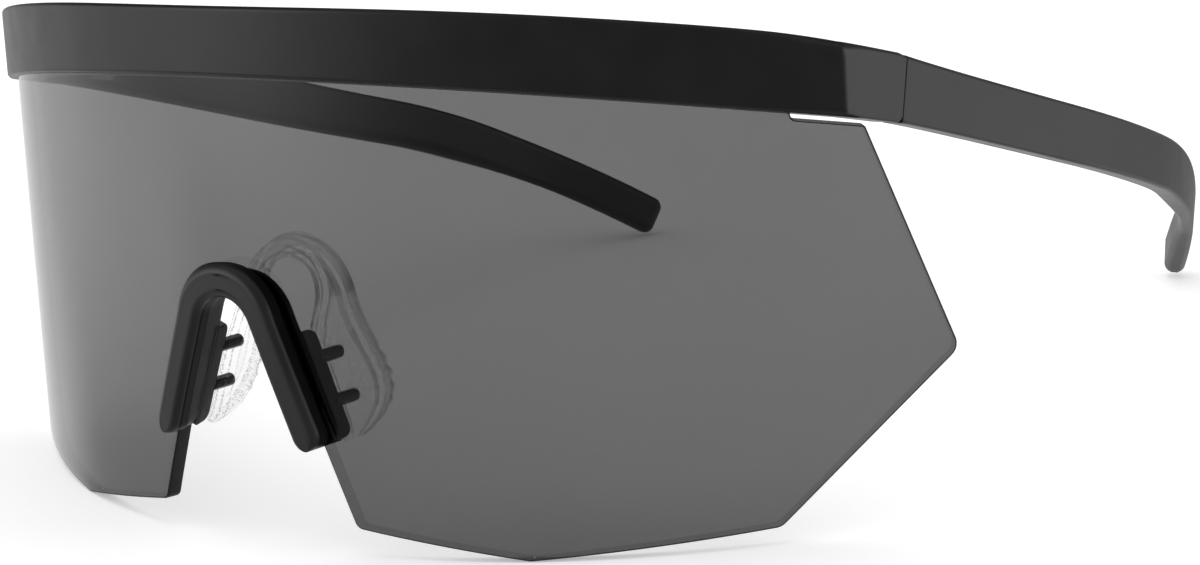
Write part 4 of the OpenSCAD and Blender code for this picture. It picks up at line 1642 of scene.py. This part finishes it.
def link_at(made: bpy.types.Object, axes: list[Array], place: Array) -> None:
    """Turns an object to three axes, puts it in its place and links it to the scene.

    Args:
        made: the camera or lamp.
        axes: where its own X, Y and Z point.
        place: where it stands, in metres.
    """
    matrix = np.eye(4)
    matrix[:3, :3] = np.stack(axes, 1)
    matrix[:3, 3] = place
    made.matrix_world = Matrix(matrix.tolist())
    bpy.context.scene.collection.objects.link(made)


@dataclass
class PhotoCamera:
    """The photograph's camera, from a fit of the object's edges."""

    pose: RestPose
    azimuth: float = 36.33
    elevation: float = 1.31
    roll: float = 4.11
    distance: float = 352.697
    focus_px: float = 2993.37
    width_px: float = 1200.0
    target: tuple[float, float, float] = (35.335, 30.0, -20.799)
    sensor_mm: float = 36.0
    clip_m: tuple[float, float] = (0.01, 20.0)

    def build(self) -> bpy.types.Object:
        """Makes the camera and sets it as the scene's.

        Returns:
            The camera.
        """
        az, el, roll = (math.radians(v) for v in (self.azimuth, self.elevation, self.roll))
        back = np.array([math.sin(az) * math.cos(el), -math.cos(az) * math.cos(el), math.sin(el)])
        right = np.array([math.cos(az), math.sin(az), 0.0])
        up = np.cross(right, -back)
        turned_right = math.cos(roll) * right + math.sin(roll) * up
        turned_up = -math.sin(roll) * right + math.cos(roll) * up
        place = self.pose.placed(np.array(self.target) + back * self.distance)
        lens = bpy.data.cameras.new("photo_camera")
        lens.sensor_fit = "HORIZONTAL"
        lens.sensor_width = self.sensor_mm
        lens.lens = self.focus_px * self.sensor_mm / self.width_px
        lens.clip_start, lens.clip_end = self.clip_m
        lens.dof.use_dof = False
        camera = bpy.data.objects.new("photo_camera", lens)
        link_at(camera, [self.pose.turned(axis) for axis in (turned_right, turned_up, back)], place)
        bpy.context.scene.camera = camera
        return camera


@dataclass(frozen=True)
class Softbox:
    """A square soft lamp that points at the object and doesn't show. One that stands steeper over
    it than the limit is squared up along X."""

    name: str
    place: tuple[float, float, float]
    size: float
    energy: float
    target: tuple[float, float, float] = (0.0, 0.0, 0.03)
    steep: float = 0.99

    def build(self) -> None:
        """Makes the lamp."""
        lamp = bpy.data.lights.new(self.name, "AREA")
        lamp.shape, lamp.size, lamp.energy = "SQUARE", self.size, self.energy
        made = bpy.data.objects.new(self.name, lamp)
        back = np.array(self.place) - np.array(self.target)
        back /= np.linalg.norm(back)
        side = np.array([1.0, 0.0, 0.0])
        if abs(back[2]) < self.steep:
            side = np.cross([0.0, 0.0, 1.0], back)
            side /= np.linalg.norm(side)
        made.visible_camera = made.visible_glossy = False
        link_at(made, [side, np.cross(back, side), back], np.array(self.place))


@dataclass
class Studio:
    """A white sweep behind and beside the object, a dimmer room in front, and soft lamps.

    What mirrors see of the room is worked out from the direction alone: how far it points towards
    the camera, its height and its X. The back is graded by height at its edge and even in its
    middle, with a side of its own, and is dimmer high up and in one shaded spot. The front is
    bright round the camera, dark at the camera itself, and lit a little from low down.
    """

    toward_camera: tuple[float, float, float] = (0.592, -0.805, 0.02)
    shade_at: tuple[float, float, float] = (0.2, 0.95, -0.22)
    ahead: Grade = Grade(0.0, 1.0, -0.15, 0.12)
    beside: Grade = Grade(0.0, 1.0, 0.0, 0.35)
    back_edge: Grade = Grade(0.42, 1.05, -0.25, -0.12)
    back_even: Grade = Grade(1.0, 0.0, -0.75, -0.5)
    back_middle: float = 0.85
    back_side: Grade = Grade(0.15, 1.6, -0.8, -0.38)
    back_top: Grade = Grade(1.0, 0.1, -0.02, 0.3, eased=False)
    back_shade: Grade = Grade(1.0, 0.3, 0.84, 1.0, eased=False)
    front_rise: Grade = Grade(0.0, 2.7, -0.17, 0.05)
    front_top: Grade = Grade(1.0, 0.1, 0.2, 0.5, eased=False)
    front_camera: Grade = Grade(1.0, 0.03, 0.15, 0.82)
    front_least: float = 0.17
    low_rise: Grade = Grade(0.25, 0.0, -0.45, -0.27)
    low_camera: Grade = Grade(1.0, 0.2, 0.3, 0.8)
    fill: float = 0.62
    floor_size: float = 2.2
    floor_glow: float = 0.37
    floor_colours: tuple[Colour, Colour] = ((0.8, 0.8, 0.8), (0.82, 0.82, 0.82))
    floor_cloud_scale: float = 4.0
    lamps: tuple[Softbox, ...] = (
        Softbox("top_softbox", (-0.1, 0.1, 1.2), size=1.2, energy=5.0),
        Softbox("left_softbox", (-1.1, -0.1, 0.55), size=0.8, energy=2.5),
        Softbox("right_softbox", (1.1, 0.4, 0.5), size=0.8, energy=2.5),
    )

    def room(self, board: NodeBoard) -> Socket:
        """How bright the room is in every direction, for mirrors.

        Args:
            board: the board of the world.

        Returns:
            The brightness.
        """
        place = board.add("ShaderNodeTexCoord").outputs["Generated"]
        axes = board.add("ShaderNodeSeparateXYZ", {0: place}).outputs
        height = axes["Z"]
        toward = board.dot(place, self.toward_camera)
        shaded = board.dot(place, self.shade_at)
        even = board.grade(toward, self.back_even)
        back = board.mix(even, board.grade(height, self.back_edge), self.back_middle)
        back = board.mix(board.grade(axes["X"], self.beside), back, board.grade(height, self.back_side))
        back = board.math("MULTIPLY", back, board.grade(height, self.back_top))
        back = board.math("MULTIPLY", back, board.grade(shaded, self.back_shade))
        front = board.grade(height, self.front_rise)
        front = board.math("MULTIPLY", front, board.grade(height, self.front_top))
        front = board.math("MULTIPLY", front, board.grade(toward, self.front_camera))
        front = board.math("ADD", front, self.front_least)
        low = board.grade(height, self.low_rise)
        low = board.math("MULTIPLY", low, board.grade(toward, self.low_camera))
        return board.math("ADD", board.mix(board.grade(toward, self.ahead), back, front), low)

    def build_world(self) -> None:
        """Lights the room: white to the camera and through clear pieces, dimmer where the camera
        stands for mirrors, and an even fill for everything else."""
        world = bpy.data.worlds.new("studio_room")
        world.use_nodes = True
        bpy.context.scene.world = world
        bpy.context.scene.view_settings.view_transform = "Standard"
        board = NodeBoard(world.node_tree)
        ray = board.add("ShaderNodeLightPath").outputs
        fill, mirror, white = (
            board.add("ShaderNodeBackground", {0: (1, 1, 1, 1), 1: strength})
            for strength in (self.fill, self.room(board), 1.0)
        )
        lit = board.blend(ray["Is Glossy Ray"], fill, mirror)
        seen = board.math("MAXIMUM", ray["Is Camera Ray"], ray["Is Transmission Ray"])
        board.show(board.blend(seen, lit, white), "ShaderNodeOutputWorld")

    def build_lamps(self) -> None:
        """Makes the soft lamps."""
        for lamp in self.lamps:
            lamp.build()

    def build_floor(self) -> bpy.types.Object:
        """Makes the pale floor, white to the camera where no shadow falls.

        Returns:
            The floor.
        """
        s = self.floor_size / 2
        mesh = bpy.data.meshes.new("studio_floor")
        mesh.from_pydata([(-s, -s, 0), (s, -s, 0), (s, s, 0), (-s, s, 0)], [], [(0, 1, 2, 3)])
        floor = bpy.data.objects.new("studio_floor", mesh)
        material, board = new_material("studio_floor_white")
        ray = board.add("ShaderNodeLightPath").outputs
        cloud = board.noise(self.floor_cloud_scale)
        paper = board.add("ShaderNodeBsdfDiffuse", {"Color": board.ramp(cloud, *self.floor_colours)})
        glow = board.add("ShaderNodeEmission", {"Color": (1, 1, 1, 1), "Strength": self.floor_glow})
        bright = board.add("ShaderNodeAddShader", {0: paper.outputs[0], 1: glow.outputs[0]})
        seen = board.math("MAXIMUM", ray["Is Camera Ray"], ray["Is Transmission Ray"])
        room = board.add("ShaderNodeBsdfTransparent", {"Color": (1, 1, 1, 1)})
        board.show(board.blend(ray["Is Glossy Ray"], board.blend(seen, paper, bright), room))
        mesh.materials.append(material)
        bpy.context.scene.collection.objects.link(floor)
        return floor


def report(piece: bpy.types.Object) -> None:
    """Logs a piece's name and how many faces it has."""
    LOG.info("%s: %d faces", piece.name, len(piece.data.polygons))


def main() -> None:
    """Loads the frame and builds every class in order."""
    logging.basicConfig(level=logging.INFO, format="%(name)s: %(message)s")
    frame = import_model()
    pose, plan, path = RestPose(), LensPlan(), NotchPath()
    plastic = MattePlastic("matte_black_plastic").material()
    clip_plastics_shade_and_light = [CLIP_PLASTICS[kind].material() for kind in ClipFace]
    report(BrowBar(plan, pose).build(plastic))
    for side in Side:
        report(Temple(side, pose).build(plastic))
    report(ShieldLens(plan, pose, path).build(SmokeLens().material(), LensRim().material()))
    report(NoseClip(plan, pose, path).build(clip_plastics_shade_and_light))
    report(NosePad(plan, pose, path).build(ClearSilicone().material()))
    for name in Hinges(frame["nodes"]).dress(HingeSteel().material()):
        LOG.info("%s: dressed in steel", name)
    studio = Studio()
    studio.build_world()
    studio.build_lamps()
    studio.build_floor()
    PhotoCamera(pose).build()


if __name__ == "__main__":
    main()
